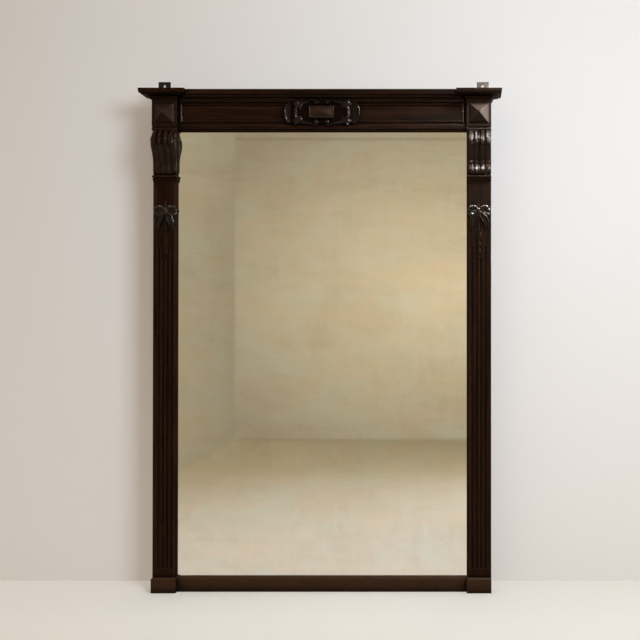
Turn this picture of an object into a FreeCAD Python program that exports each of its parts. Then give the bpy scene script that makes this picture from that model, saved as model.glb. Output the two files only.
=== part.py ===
import FreeCAD, Part
import math
import operator
import os
from types import SimpleNamespace

import Sketcher

Vector = FreeCAD.Vector
UPRIGHT = Vector(0, 0, 1)
INTO_WALL = Vector(0, 1, 0)

# A tall oak mirror that stands on the floor, in millimetres.
# X runs to the viewer's right, -Y is the front and +Z is up; the origin is under the middle of the object.

SIZES = {
    # joined frame
    "frame_width": 1420,
    "frame_height": 2100,
    "stile_width": 90,
    "stile_depth": 42,
    "bottom_rail_height": 53,
    "top_rail_height": 147,
    "tenon_length": 45,
    "tenon_thickness": 14,
    "tenon_setback": 12,
    "tenon_shoulder": 12,
    "peg_diameter": 8,
    "peg_length": 32,
    "peg_spread": 60,
    "peg_margin": 5,
    "fit_clearance": 0.2,
    # sight slips, glass and back
    "slip_width": 13,
    "slip_depth": 11,
    "slip_setback": 1,
    "slip_flat": 2,
    "glass_thickness": 5,
    "glass_clearance": 2,
    "wedge_width": 18,
    "wedge_length": 60,
    "rebate_width": 20,
    "backboard_thickness": 12,
    "backboard_recess": 2,
    "backboard_gap": 1,
    "nail_diameter": 2.4,
    "nail_head_diameter": 6,
    "nail_head_height": 1.2,
    "nail_length": 28,
    # pilaster flutes
    "flute_width": 10.5,
    "flute_pitch": 18.3,
    "flute_bottom": 98,
    "outer_flute_rise": 48,
    # plinth blocks and end blocks
    "block_depth": 22,
    "plinth_height": 62,
    "plinth_bevel": 4,
    "block_height": 140,
    "block_moulding_height": 18,
    "block_moulding_overhang": 1,
    "block_moulding_quirk": 3,
    "block_moulding_fillet": 5,
    "block_moulding_recess": 5,
    "diamond_width": 84,
    "diamond_height": 86,
    "diamond_margin": 12,
    "diamond_skirt": 7,
    "diamond_skirt_rise": 7,
    "diamond_rise": 26,
    "apex_width": 1.2,
    # consoles and neckings
    "console_height": 188,
    "console_width": 96,
    "console_foot": 10,
    "console_corner": 20,
    "console_belly": 54,
    "console_belly_height": 140,
    "console_sweep_radius": 44,
    "console_cap_reach": 5,
    "console_groove": 3.6,
    "console_roll_pitch": 23,
    "scroll_eye_diameter": 20,
    "scroll_eye_rise": 2,
    "necking_height": 26,
    "necking_projection": 18,
    "necking_fillet": 7.5,
    "necking_groove": 5.5,
    "necking_groove_depth": 3,
    "necking_bed": 10,
    "necking_bed_fillet": 4,
    "necking_foot": 3,
    # bows and husk drops
    "bow_gap": 94,
    "bow_height": 111,
    "bow_thickness": 12,
    "bow_width": 104,
    "bow_knot_drop": 26,
    "knot_width": 17,
    "knot_height": 22,
    "knot_rise": 16,
    "loop_height": 46,
    "loop_band": 11,
    "loop_bow": 4,
    "loop_hollow": 9,
    "eye_bow": 2,
    "tail_thickness": 9,
    "tail_spread": 26,
    "tail_width": 36,
    "tail_bow": 4,
    "husk_length": 112,
    "husk_width": 29,
    "husk_taper": 2.2,
    "husk_stem": 5,
    "husk_bow": 2,
    # frieze
    "bead_width": 9,
    "bead_rise": 7,
    "bead_fillet": 2,
    "bead_margin": 10,
    "frieze_base_height": 25,
    "frieze_base_cove": 12,
    "frieze_base_edge": 1.5,
    # cartouche
    "cartouche_width": 322,
    "cartouche_height": 104,
    "cartouche_thickness": 14,
    "cartouche_rim": 8,
    "cartouche_sink": 5,
    "cartouche_lobe": 72,
    "cartouche_lobe_bow": 12,
    "cartouche_throat_bow": 3,
    "cartouche_field_bow": 9,
    "cartouche_hollow_bow": 6,
    "cartouche_ear": 104,
    "cartouche_waist": 58,
    "backing_width": 280,
    "scroll_diameter": 25,
    "scroll_pitch": 46,
    "scroll_reach": 58,
    "scroll_thickness": 13,
    "scroll_strap": 11,
    "scroll_strap_thickness": 9,
    "scroll_length": 84,
    "scroll_slant": 17,
    "scroll_channel": 3.7,
    "scroll_channel_depth": 3.2,
    "boss_width": 94,
    "boss_height": 38,
    "boss_frame": 5,
    "boss_frame_rise": 5,
    "boss_rise": 15,
    # cornice
    "cornice_height": 50,
    "cornice_projection": 44,
    "fascia_height": 18,
    "fascia_lean": 2.5,
    "soffit_depth": 5.5,
    "bed_fillet": 2,
    "bed_projection": 11,
    "bed_height": 8,
    "cove_step": 2,
    "cove_fillet": 3,
    "cove_projection": 28,
    "cove_height": 22,
    "neck_fillet": 3.5,
    "top_board_thickness": 10,
    # hanging plates
    "plate_width": 51,
    "plate_thickness": 4,
    "plate_edge": 8.5,
    "plate_let_in": 100,
    "plate_rise": 50,
    "keyhole_diameter": 16,
    "keyhole_slot": 8,
    "keyhole_travel": 22,
    "keyhole_lip": 12,
    "screw_diameter": 4.5,
    "screw_head_diameter": 9,
    "screw_head_height": 2.6,
    "screw_length": 12.5,
    "screw_pitch": 33,
}

BACKBOARD_COUNT = 7
SIDE_WEDGES = 5
RAIL_WEDGES = 3
PLATE_SCREWS = 3
HUSK_COUNT = 3

# Angles of a console, in degrees: how far its front leans out and how far it rolls back over.
CONSOLE_LEAN = 60
CONSOLE_ROLL = 75

# Where the nails stand up a backboard, as shares of its height.
NAIL_SHARES = (0.2, 0.8)

# Where a bow's loop is highest and where its eye begins, as shares of its reach.
LOOP_CREST = 0.55
EYE_START = 0.34

# The width of a knot's top, as a share of its foot, and where a husk is widest, as a share of its length.
KNOT_TAPER = 0.6
HUSK_SHOULDER = 0.35

# Height of a quarter-circle's middle over its chord, as a share of the radius.
QUARTER_RISE = 1 - math.sqrt(0.5)

doc = FreeCAD.newDocument("FloorMirror")
sheet = doc.addObject("Spreadsheet::Sheet", "Sizes")
nodes = []


class Size:
    """A length that carries its value and the sheet formula that gives it."""

    def __init__(self, value, formula):
        self.value = value
        self.formula = formula

    def __add__(self, other):
        return combine(self, other, "+", operator.add)

    def __radd__(self, other):
        return combine(other, self, "+", operator.add)

    def __sub__(self, other):
        return combine(self, other, "-", operator.sub)

    def __rsub__(self, other):
        return combine(other, self, "-", operator.sub)

    def __mul__(self, other):
        return combine(self, other, "*", operator.mul)

    def __rmul__(self, other):
        return combine(other, self, "*", operator.mul)

    def __truediv__(self, other):
        return combine(self, other, "/", operator.truediv)

    def __neg__(self):
        return 0 - self


def as_size(item):
    if isinstance(item, Size):
        return item
    return Size(float(item), f"{float(item)}")


def combine(left, right, sign, action):
    left = as_size(left)
    right = as_size(right)
    return Size(action(left.value, right.value), f"({left.formula} {sign} {right.formula})")


def read_sizes():
    """Fill the sheet and give each of its cells as a Size."""
    cells = {}
    for row, (alias, number) in enumerate(SIZES.items(), 1):
        sheet.set(f"A{row}", alias)
        sheet.set(f"B{row}", str(number))
        sheet.setAlias(f"B{row}", alias)
        cells[alias] = Size(float(number), f"Sizes.{alias}")
    doc.recompute()
    return SimpleNamespace(**cells)


def bind(thing, path, length):
    thing.setExpression(path, as_size(length).formula)


def place(thing, x=0, y=0, z=0, turn=0, axis=UPRIGHT):
    """Put a piece at x, y, z, turned about an axis."""
    spot = [as_size(item) for item in (x, y, z)]
    base = Vector(*(item.value for item in spot))
    thing.Placement = FreeCAD.Placement(base, FreeCAD.Rotation(axis, turn))
    for axis, length in zip("xyz", spot):
        bind(thing, f"Placement.Base.{axis}", length)


def keep(thing, label):
    """Name a finished piece and list it for export."""
    thing.Label = label
    nodes.append(thing)
    return thing


def mirror(right, label):
    """The left-hand twin of a right-hand piece."""
    twin = doc.addObject("Part::Mirroring", label)
    twin.Source = right
    twin.Normal = Vector(1, 0, 0)
    return keep(twin, label)


# Sketches

def fix_point(limits, formulas, geometry, end, across, up):
    """Tie one end of a sketch line or arc to its place from the sketch origin."""
    for kind, axis, length in (("DistanceX", -2, across), ("DistanceY", -1, up)):
        if abs(length.value) < 1e-9:
            limits.append(Sketcher.Constraint("PointOnObject", geometry, end, axis))
        elif length.value > 0:
            formulas[len(limits)] = length.formula
            limits.append(Sketcher.Constraint(kind, -1, 1, geometry, end, length.value))
        else:
            formulas[len(limits)] = f"-{length.formula}"
            limits.append(Sketcher.Constraint(kind, geometry, end, -1, 1, -length.value))


def bind_limits(sketch, limits, formulas):
    first = sketch.ConstraintCount
    sketch.addConstraint(limits)
    for number, formula in formulas.items():
        sketch.setExpression(f"Constraints[{first + number}]", formula)


def draw(sketch, points, closed=True):
    """Draw an outline through points (across, up).

    A third number bows the edge that follows its point by that rise: to the right of the way it
    runs if the rise is positive, to the left if it is negative.
    """
    corners = [(as_size(point[0]), as_size(point[1])) for point in points]
    rises = [as_size(point[2]) if len(point) > 2 else None for point in points]
    count = len(points) if closed else len(points) - 1
    first = sketch.GeometryCount
    limits = []
    formulas = {}
    ends = []
    for number in range(count):
        start = corners[number]
        finish = corners[(number + 1) % len(corners)]
        rise = rises[number]
        begin = Vector(start[0].value, start[1].value, 0)
        stop = Vector(finish[0].value, finish[1].value, 0)
        edge = first + number
        if rise is None:
            sketch.addGeometry(Part.LineSegment(begin, stop), False)
            ends.append((1, 2))
            continue
        across = finish[0] - start[0]
        up = finish[1] - start[1]
        chord = stop - begin
        side = Vector(chord.y, -chord.x, 0).normalize()
        middle = (begin + stop) / 2 + side * rise.value
        sketch.addGeometry(Part.Arc(begin, middle, stop), False)
        ends.append((1, 2) if rise.value > 0 else (2, 1))
        height = rise if rise.value > 0 else -rise
        radius = (across * across + up * up) / (8 * height) + height / 2
        formulas[len(limits)] = radius.formula
        limits.append(Sketcher.Constraint("Radius", edge, radius.value))
    for number in range(count):
        edge = first + number
        fix_point(limits, formulas, edge, ends[number][0], *corners[number])
        if number or closed:
            before = (number - 1) % count
            limits.append(Sketcher.Constraint("Coincident", first + before, ends[before][1],
                                              edge, ends[number][0]))
    if not closed:
        fix_point(limits, formulas, first + count - 1, ends[-1][1], *corners[-1])
    bind_limits(sketch, limits, formulas)


def draw_circle(sketch, across, up, diameter):
    across = as_size(across)
    up = as_size(up)
    diameter = as_size(diameter)
    middle = Vector(across.value, up.value, 0)
    edge = sketch.GeometryCount
    sketch.addGeometry(Part.Circle(middle, Vector(0, 0, 1), diameter.value / 2), False)
    limits = [Sketcher.Constraint("Diameter", edge, diameter.value)]
    formulas = {0: diameter.formula}
    fix_point(limits, formulas, edge, 3, across, up)
    bind_limits(sketch, limits, formulas)


def box_outline(left, right, low, high):
    return [(left, low), (right, low), (right, high), (left, high)]


def centred_box(width, height):
    return box_outline(-width / 2, width / 2, -height / 2, height / 2)


def mitre_outline(length, width):
    """The ends of a strip along X, cut back at 45 degrees from its outer edge and drawn on past its sides."""
    outer = length / 2
    foot = outer + width
    head = outer - 2 * width
    return [(-foot, -width), (foot, -width), (head, 2 * width), (-head, 2 * width)]


# Solid features

def new_body(label):
    body = doc.addObject("PartDesign::Body", label)
    return keep(body, label)


def new_sketch(body, role, offset=0, shift=0):
    """An empty sketch on one of the body's own planes, moved along its normal and across."""
    sketch = body.newObject("Sketcher::SketchObject", "Outline")
    plane = next(item for item in body.Origin.OriginFeatures if item.Role == role)
    sketch.AttachmentSupport = [(plane, "")]
    sketch.MapMode = "FlatFace"
    bind(sketch, "AttachmentOffset.Base.z", offset)
    bind(sketch, "AttachmentOffset.Base.x", shift)
    return sketch


def extend(body, kind, sketch, length, middle=False, other_way=False):
    """Pad or pocket a sketch by a length."""
    feature = body.newObject(f"PartDesign::{kind}", kind)
    feature.Profile = sketch
    bind(feature, "Length", length)
    feature.Midplane = middle
    feature.Reversed = other_way
    body.Tip = feature
    return feature


def pad(body, role, points, length, offset=0, middle=False, other_way=False):
    sketch = new_sketch(body, role, offset)
    draw(sketch, points)
    return extend(body, "Pad", sketch, length, middle, other_way)


def pocket(body, role, points, length, offset=0, other_way=False):
    sketch = new_sketch(body, role, offset)
    draw(sketch, points)
    return extend(body, "Pocket", sketch, length, False, other_way)


def drill(body, role, holes, diameter, length, offset=0, other_way=False):
    """Sink round holes at their (across, up) places."""
    sketch = new_sketch(body, role, offset)
    for across, up in holes:
        draw_circle(sketch, across, up, diameter)
    return extend(body, "Pocket", sketch, length, False, other_way)


def loft(body, role, sections):
    """Join outlines that lie at offsets along the plane's normal."""
    sketches = []
    for offset, points in sections:
        sketch = new_sketch(body, role, offset)
        draw(sketch, points)
        sketches.append(sketch)
    feature = body.newObject("PartDesign::AdditiveLoft", "Loft")
    feature.Profile = sketches[0]
    feature.Sections = sketches[1:]
    feature.Ruled = True
    body.Tip = feature
    return feature


def bevel(body, size, wanted):
    """Chamfer the edges of the finished solid whose middle passes the wanted test."""
    doc.recompute()
    base = body.Tip
    names = []
    for number, edge in enumerate(base.Shape.Edges, 1):
        if wanted(edge.CenterOfMass):
            names.append(f"Edge{number}")
    feature = body.newObject("PartDesign::Chamfer", "Chamfer")
    feature.Base = (base, names)
    bind(feature, "Size", size)
    body.Tip = feature
    return feature


def loose_sketch(label, role, points):
    """A sketch that stands free, on the plane that its role names."""
    turns = {
        "XY": FreeCAD.Rotation(),
        "XZ": FreeCAD.Rotation(Vector(1, 0, 0), 90),
        "YZ": FreeCAD.Rotation(Vector(1, 1, 1), 120),
    }
    sketch = doc.addObject("Sketcher::SketchObject", label)
    sketch.Placement = FreeCAD.Placement(Vector(), turns[role])
    draw(sketch, points)
    return sketch


def extrude(label, role, points, length, both_ways=False):
    solid = doc.addObject("Part::Extrusion", label)
    solid.Base = loose_sketch(f"{label}_sketch", role, points)
    solid.DirMode = "Normal"
    solid.Solid = True
    solid.Symmetric = both_ways
    bind(solid, "LengthFwd", length)
    return solid


def mitred_moulding(label, profile, run, cut_role, cut, depth):
    """A length of moulding along X: its profile, cut at the ends to the outline of its mitres.

    The cut is drawn on the plan (XY) or on the face (XZ), and half of the depth lies each side of it.
    """
    strip = extrude(f"{label}_strip", "YZ", profile, run, both_ways=True)
    template = extrude(f"{label}_mitres", cut_role, cut, depth, both_ways=True)
    piece = doc.addObject("Part::Common", label)
    piece.Base = strip
    piece.Tool = template
    return keep(piece, label)


def group(label, solids):
    """Separate solids of one kind, kept together as one piece of the list."""
    piece = doc.addObject("Part::Feature", label)
    piece.Shape = Part.makeCompound(solids)
    return keep(piece, label)


def lying_cylinder(diameter, length, x, back, z):
    """A round bar that runs forward along -Y from its back end."""
    return Part.makeCylinder(diameter.value / 2, length.value, Vector(x, back, z), Vector(0, -1, 0))


# Shared places, worked out from the sizes

s = read_sizes()

half_width = s.frame_width / 2
inner = half_width - s.stile_width
sight = inner - s.slip_width
pilaster_width = s.stile_width + s.slip_width
pilaster_middle = sight + pilaster_width / 2

total_depth = s.stile_depth + s.block_depth + s.cornice_projection
back = total_depth / 2
face = back - s.stile_depth
block_face = face - s.block_depth
rebate_depth = s.backboard_thickness + s.backboard_recess
board_front = back - rebate_depth
glass_front = face + s.slip_depth
glass_back = glass_front + s.glass_thickness

stile_top = s.frame_height - s.top_board_thickness
rail_low = stile_top - s.top_rail_height
cornice_low = s.frame_height - s.cornice_height
block_low = stile_top - s.block_height
moulding_low = block_low - s.block_moulding_height
console_low = moulding_low - s.console_height
necking_low = console_low - s.necking_height
bow_high = necking_low - s.bow_gap
bow_low = bow_high - s.bow_height
husk_low = bow_low - s.husk_length

tenon_back = s.tenon_setback + s.tenon_thickness
top_tenon_low = rail_low + s.tenon_shoulder
top_tenon_high = stile_top - s.tenon_shoulder
bottom_tenon_high = s.bottom_rail_height - s.tenon_shoulder
peg_across = s.rebate_width + s.peg_margin
peg_heights = [
    s.bottom_rail_height / 2,
    (rail_low + stile_top) / 2 - s.peg_spread / 2,
    (rail_low + stile_top) / 2 + s.peg_spread / 2,
]

boards_low = s.bottom_rail_height - s.rebate_width
boards_high = rail_low + s.rebate_width
board_pitch = (boards_high - boards_low) / BACKBOARD_COUNT
nail_heights = [boards_low + board_pitch * (number + share)
                for number in range(BACKBOARD_COUNT) for share in NAIL_SHARES]

plate_across = s.stile_width - s.plate_edge - s.plate_width / 2
plate_low = stile_top - s.plate_let_in
screw_heights = [plate_low + s.plate_let_in / 2 + s.screw_pitch * (number - (PLATE_SCREWS - 1) / 2)
                 for number in range(PLATE_SCREWS)]

frieze_bead_low = rail_low + s.frieze_base_height
frieze_middle = (frieze_bead_low + cornice_low) / 2
cartouche_front = face - s.bead_rise - s.cartouche_thickness
bed_reach = s.bed_projection + s.cove_step


# Joined frame

def flute_pair(body, spread, top):
    """Two stopped flutes, hollowed half-round into the front of a stile."""
    radius = s.flute_width / 2
    first = pilaster_middle - inner - spread / 2
    sketch = new_sketch(body, "XZ_Plane", shift=first)
    draw(sketch, [
        (0, s.flute_bottom, radius * QUARTER_RISE),
        (radius, s.flute_bottom + radius),
        (radius, top - radius, radius * QUARTER_RISE),
        (0, top),
    ])
    groove = body.newObject("PartDesign::Groove", "Flute")
    groove.Profile = sketch
    groove.ReferenceAxis = (sketch, ["V_Axis"])
    groove.Angle = 360
    body.Tip = groove
    pattern = body.newObject("PartDesign::LinearPattern", "Flutes")
    pattern.Originals = [groove]
    pattern.Direction = (sketch, ["H_Axis"])
    bind(pattern, "Length", spread)
    pattern.Occurrences = 2
    body.Tip = pattern


def make_stile():
    """The right stile: fluted front, rebated back, mortised for both rails."""
    stile = new_body("right_stile")
    floor = s.stile_depth - rebate_depth
    pad(stile, "XY_Plane", box_outline(0, s.stile_width, 0, s.stile_depth), stile_top)
    rebate = box_outline(floor, s.stile_depth, boards_low, boards_high)
    pocket(stile, "YZ_Plane", rebate, s.rebate_width, other_way=True)
    flute_pair(stile, s.flute_pitch * 3, husk_low + s.outer_flute_rise)
    flute_pair(stile, s.flute_pitch, husk_low)
    for low, high in ((s.tenon_shoulder, bottom_tenon_high), (top_tenon_low, top_tenon_high)):
        mortise = box_outline(s.tenon_setback - s.fit_clearance, tenon_back + s.fit_clearance,
                              low - s.fit_clearance, high + s.fit_clearance)
        pocket(stile, "YZ_Plane", mortise, s.tenon_length + s.fit_clearance, other_way=True)
    drill(stile, "XZ_Plane", [(peg_across, height) for height in peg_heights],
          s.peg_diameter + s.fit_clearance, s.peg_length, -s.stile_depth, other_way=True)
    recess = box_outline(plate_across - s.plate_width / 2, plate_across + s.plate_width / 2,
                         plate_low, stile_top)
    pocket(stile, "XZ_Plane", recess, s.plate_thickness, -s.stile_depth, other_way=True)
    drill(stile, "XZ_Plane", [(plate_across, height) for height in screw_heights],
          s.screw_diameter + s.fit_clearance, s.screw_length, -s.stile_depth, other_way=True)
    drill(stile, "XZ_Plane", [(s.rebate_width / 2, height) for height in nail_heights],
          s.nail_diameter + s.fit_clearance, s.nail_length - s.backboard_thickness, -floor, other_way=True)
    place(stile, inner, face)
    mirror(stile, "left_stile")


def make_rail(label, section, low, high, heights):
    """A rail between the stiles: its section with the back rebate, a tenon at each end, peg holes."""
    rail = new_body(label)
    length = 2 * inner
    pad(rail, "YZ_Plane", section, length, middle=True)
    tenon = box_outline(s.tenon_setback, tenon_back, low, high)
    pad(rail, "YZ_Plane", tenon, length + 2 * s.tenon_length, middle=True)
    holes = []
    for side in (-1, 1):
        holes += [((inner + peg_across) * side, height) for height in heights]
    drill(rail, "XZ_Plane", holes, s.peg_diameter + s.fit_clearance, s.stile_depth)
    place(rail, 0, face)


def make_rails():
    floor = s.stile_depth - rebate_depth
    make_rail("bottom_rail", [
        (0, 0), (s.stile_depth, 0), (s.stile_depth, boards_low), (floor, boards_low),
        (floor, s.bottom_rail_height), (0, s.bottom_rail_height),
    ], s.tenon_shoulder, bottom_tenon_high, peg_heights[:1])
    make_rail("top_rail", [
        (0, rail_low), (floor, rail_low), (floor, boards_high), (s.stile_depth, boards_high),
        (s.stile_depth, stile_top), (0, stile_top),
    ], top_tenon_low, top_tenon_high, peg_heights[1:])


def make_pegs():
    """Oak pegs, driven from the back through the stiles and tenons."""
    solids = []
    for side in (-1, 1):
        across = side * (inner + peg_across).value
        for height in peg_heights:
            solids.append(lying_cylinder(s.peg_diameter, s.peg_length, across, back.value, height.value))
    group("tenon_pegs", solids)


# Sight slips, glass and back

def make_slip(label, length, turn, x, z):
    """One bevelled slip of the sight edge, mitred to its neighbours; its outer edge lies at z = 0."""
    profile = [
        (s.slip_setback, 0), (s.slip_depth, 0), (s.slip_depth, s.slip_width),
        (s.slip_depth - s.slip_flat, s.slip_width), (s.slip_setback, s.slip_flat),
    ]
    mitres = mitre_outline(length, s.slip_width)
    slip = mitred_moulding(label, profile, length, "XZ", mitres, 4 * s.slip_depth)
    place(slip, x, face, z, turn, INTO_WALL)


def make_slips():
    tall = rail_low - s.bottom_rail_height
    middle = (rail_low + s.bottom_rail_height) / 2
    make_slip("bottom_sight_slip", 2 * inner, 0, 0, s.bottom_rail_height)
    make_slip("top_sight_slip", 2 * inner, 180, 0, rail_low)
    make_slip("left_sight_slip", tall, 90, -inner, middle)
    make_slip("right_sight_slip", tall, -90, inner, middle)


def make_box(label, left, right, front, rear, low, high):
    box = doc.addObject("Part::Box", label)
    bind(box, "Length", as_size(right) - left)
    bind(box, "Width", as_size(rear) - front)
    bind(box, "Height", as_size(high) - low)
    place(box, left, front, low)
    return keep(box, label)


def make_glass():
    """The silvered plate, held against the slips by wedges behind its edges."""
    edge = inner - s.glass_clearance
    make_box("mirror_glass", -edge, edge, glass_front, glass_back,
             s.bottom_rail_height + s.glass_clearance, rail_low - s.glass_clearance)


def make_wedges():
    """Softwood blocks glued inside the frame, between the glass and the backboards."""
    depth = (board_front - glass_back).value
    width = s.wedge_width.value
    length = s.wedge_length.value
    front = glass_back.value
    solids = []
    tall = (rail_low - s.bottom_rail_height).value
    for number in range(SIDE_WEDGES):
        low = s.bottom_rail_height.value + tall * (number + 0.5) / SIDE_WEDGES - length / 2
        for left in (-inner.value, inner.value - width):
            solids.append(Part.makeBox(width, depth, length, Vector(left, front, low)))
    wide = 2 * inner.value
    for number in range(RAIL_WEDGES):
        left = wide * (number + 0.5) / RAIL_WEDGES - inner.value - length / 2
        for low in (s.bottom_rail_height.value, rail_low.value - width):
            solids.append(Part.makeBox(length, depth, width, Vector(left, front, low)))
    group("glass_wedges", solids)


def make_backboards():
    """Horizontal boards laid in the rebate, with nail holes at each end."""
    reach = inner + s.rebate_width - s.backboard_gap
    across = inner + s.rebate_width / 2
    for number in range(BACKBOARD_COUNT):
        board = new_body(f"backboard_{number + 1}")
        height = board_pitch - s.backboard_gap
        pad(board, "XZ_Plane", box_outline(-reach, reach, 0, height), s.backboard_thickness)
        holes = []
        for side in (-1, 1):
            for share in NAIL_SHARES:
                holes.append((across * side, board_pitch * share - s.backboard_gap / 2))
        drill(board, "XZ_Plane", holes, s.nail_diameter + s.fit_clearance, s.backboard_thickness,
              s.backboard_thickness)
        low = boards_low + board_pitch * number + s.backboard_gap / 2
        place(board, 0, board_front + s.backboard_thickness, low)


def make_nails():
    """Cut nails through the boards into the rebates of the stiles."""
    solids = []
    seat = (board_front + s.backboard_thickness).value
    for side in (-1, 1):
        across = side * (inner + s.rebate_width / 2).value
        for height in nail_heights:
            shank = lying_cylinder(s.nail_diameter, s.nail_length, across, seat, height.value)
            head = lying_cylinder(s.nail_head_diameter, s.nail_head_height, across,
                                  seat + s.nail_head_height.value, height.value)
            solids.append(shank.fuse(head).removeSplitter().Solids[0])
    group("backboard_nails", solids)


# Plinths, end blocks and diamond points

def make_plinth():
    plinth = new_body("right_plinth_block")
    half = pilaster_width / 2
    pad(plinth, "XY_Plane", box_outline(-half, half, 0, s.block_depth), s.plinth_height)
    top = s.plinth_height.value
    rear = s.block_depth.value
    bevel(plinth, s.plinth_bevel, lambda spot: abs(spot.z - top) < 1e-6 and abs(spot.y - rear) > 1e-6)
    place(plinth, pilaster_middle, block_face)
    mirror(plinth, "left_plinth_block")


def make_end_block():
    block = make_box("right_end_block", sight, half_width, block_face, face, block_low, stile_top)
    mirror(block, "left_end_block")


def make_block_moulding():
    """The moulding under an end block: a quirk, a fillet and a hollow that dies into the block."""
    moulding = new_body("right_block_moulding")
    proud = s.block_depth + s.block_moulding_overhang
    fillet_low = s.block_moulding_quirk
    fillet_high = fillet_low + s.block_moulding_fillet
    set_back = s.block_depth - s.block_moulding_overhang
    pad(moulding, "YZ_Plane", [
        (0, 0), (-set_back, 0), (-set_back, fillet_low), (-proud, fillet_low),
        (-proud, fillet_high, s.block_moulding_recess), (-s.block_depth, s.block_moulding_height),
        (0, s.block_moulding_height),
    ], pilaster_width, middle=True)
    place(moulding, pilaster_middle, face, moulding_low)
    mirror(moulding, "left_block_moulding")


def make_diamond():
    """A diamond point on the front of an end block, with a steep skirt round its foot."""
    diamond = new_body("right_diamond_point")
    width = s.diamond_width
    height = s.diamond_height
    foot = centred_box(width, height)
    shoulder = centred_box(width - 2 * s.diamond_skirt, height - 2 * s.diamond_skirt)
    tip = centred_box(s.apex_width, s.apex_width)
    loft(diamond, "XZ_Plane", [
        (0, foot), (s.diamond_skirt_rise, shoulder), (s.diamond_skirt_rise + s.diamond_rise, tip),
    ])
    place(diamond, pilaster_middle, block_face, block_low + s.diamond_margin + height / 2)
    mirror(diamond, "left_diamond_point")


# Consoles and neckings

def console_front():
    """The front of a console from foot to cap, as (forward, up, rise), forward being negative.

    A straight foot sweeps outwards through one arc and rolls over the belly in another, tangent to it.
    """
    lean = math.radians(CONSOLE_LEAN)
    roll = math.radians(CONSOLE_ROLL)
    reach = s.console_belly - s.console_foot
    belly_radius = reach / (1 - math.cos(lean)) - s.console_sweep_radius
    heart = s.console_belly - belly_radius
    sweep_low = s.console_belly_height - (s.console_sweep_radius + belly_radius) * math.sin(lean)
    sweep_high = s.console_belly_height - belly_radius * math.sin(lean)
    return [
        (-s.console_foot, 0),
        (-s.console_foot, sweep_low, s.console_sweep_radius * (1 - math.cos(lean / 2))),
        (-heart - belly_radius * math.cos(lean), sweep_high,
         -belly_radius * (1 - math.cos((lean + roll) / 2))),
        (-heart - belly_radius * math.cos(roll), s.console_belly_height + belly_radius * math.sin(roll)),
    ]


def make_console():
    """An S-shaped scroll bracket with four rolls down its front, an eye on each cheek and a round foot."""
    console = new_body("right_console")
    front = console_front()
    brow, brow_height = front[-1][:2]
    pad(console, "YZ_Plane", front + [(0, brow_height), (0, 0)], s.console_width, middle=True)
    for number in (-1, 0, 1):
        spine = new_sketch(console, "YZ_Plane", s.console_roll_pitch * number)
        draw(spine, front, closed=False)
        section = new_sketch(console, "XY_Plane")
        draw_circle(section, s.console_roll_pitch * number, -s.console_foot, 2 * s.console_groove)
        groove = console.newObject("PartDesign::SubtractivePipe", "Groove")
        groove.Profile = section
        groove.Spine = spine
        console.Tip = groove
    cap = box_outline(brow - s.console_cap_reach, 0, brow_height, s.console_height)
    pad(console, "YZ_Plane", cap, s.console_width, middle=True)
    half = s.console_width / 2
    corner = s.console_corner
    for side in (-1, 1):
        outline = [
            (half * side, 0), (half * side, corner, corner * (-side * QUARTER_RISE)),
            ((half - corner) * side, 0),
        ]
        pocket(console, "XZ_Plane", outline, s.console_belly, s.console_belly)
    eye = new_sketch(console, "YZ_Plane")
    draw_circle(eye, -s.console_belly / 2, s.console_belly_height, s.scroll_eye_diameter)
    extend(console, "Pad", eye, s.console_width + 2 * s.scroll_eye_rise, middle=True)
    place(console, pilaster_middle, face, console_low)
    mirror(console, "left_console")


def make_necking():
    """The shelf under a console: a bold fillet, a groove, a smaller fillet and a hollow."""
    bed = s.necking_bed
    shelf_low = s.necking_height - s.necking_fillet
    groove_low = shelf_low - s.necking_groove
    bed_low = groove_low - s.necking_bed_fillet
    groove_floor = bed - s.necking_groove_depth
    necking = new_body("right_necking")
    pad(necking, "YZ_Plane", [
        (0, 0), (-s.necking_foot, 0, bed_low * QUARTER_RISE), (-bed, bed_low), (-bed, groove_low),
        (-groove_floor, groove_low), (-groove_floor, shelf_low), (-s.necking_projection, shelf_low),
        (-s.necking_projection, s.necking_height), (0, s.necking_height),
    ], pilaster_width, middle=True)
    place(necking, pilaster_middle, face, necking_low)
    mirror(necking, "left_necking")


# Bows and husk drops

def bow_loop(body, side):
    """One open loop of a bow, from the knot outwards."""
    reach = s.bow_width / 2
    rise = s.loop_height / 2
    near = s.knot_width / 4
    bow = s.loop_bow * side
    pad(body, "XZ_Plane", [
        (near * side, -near), (reach * LOOP_CREST * side, -rise, bow), (reach * side, 0, bow),
        (reach * LOOP_CREST * side, rise), (near * side, near),
    ], s.bow_thickness)


def bow_tail(body, side):
    """One hanging end of a bow: a leaf that comes from under the knot and ends in a point."""
    near = s.knot_width / 4
    shoulder = s.loop_height / 2 - s.loop_band
    foot = s.bow_knot_drop - s.bow_height
    bow = s.tail_bow * side
    pad(body, "XZ_Plane", [
        (near * side, -near, bow), (s.tail_spread * side, foot, bow),
        ((near + s.tail_width) * side, -shoulder),
    ], s.tail_thickness)


def bow_eye(body, side):
    """The hollow inside a loop."""
    reach = s.bow_width / 2
    rise = s.loop_height / 2 - s.loop_band
    bow = s.eye_bow * side
    pocket(body, "XZ_Plane", [
        (reach * EYE_START * side, 0), (reach * LOOP_CREST * side, -rise, bow),
        ((reach - s.loop_band) * side, 0, bow), (reach * LOOP_CREST * side, rise),
    ], s.loop_hollow, s.bow_thickness)


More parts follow.
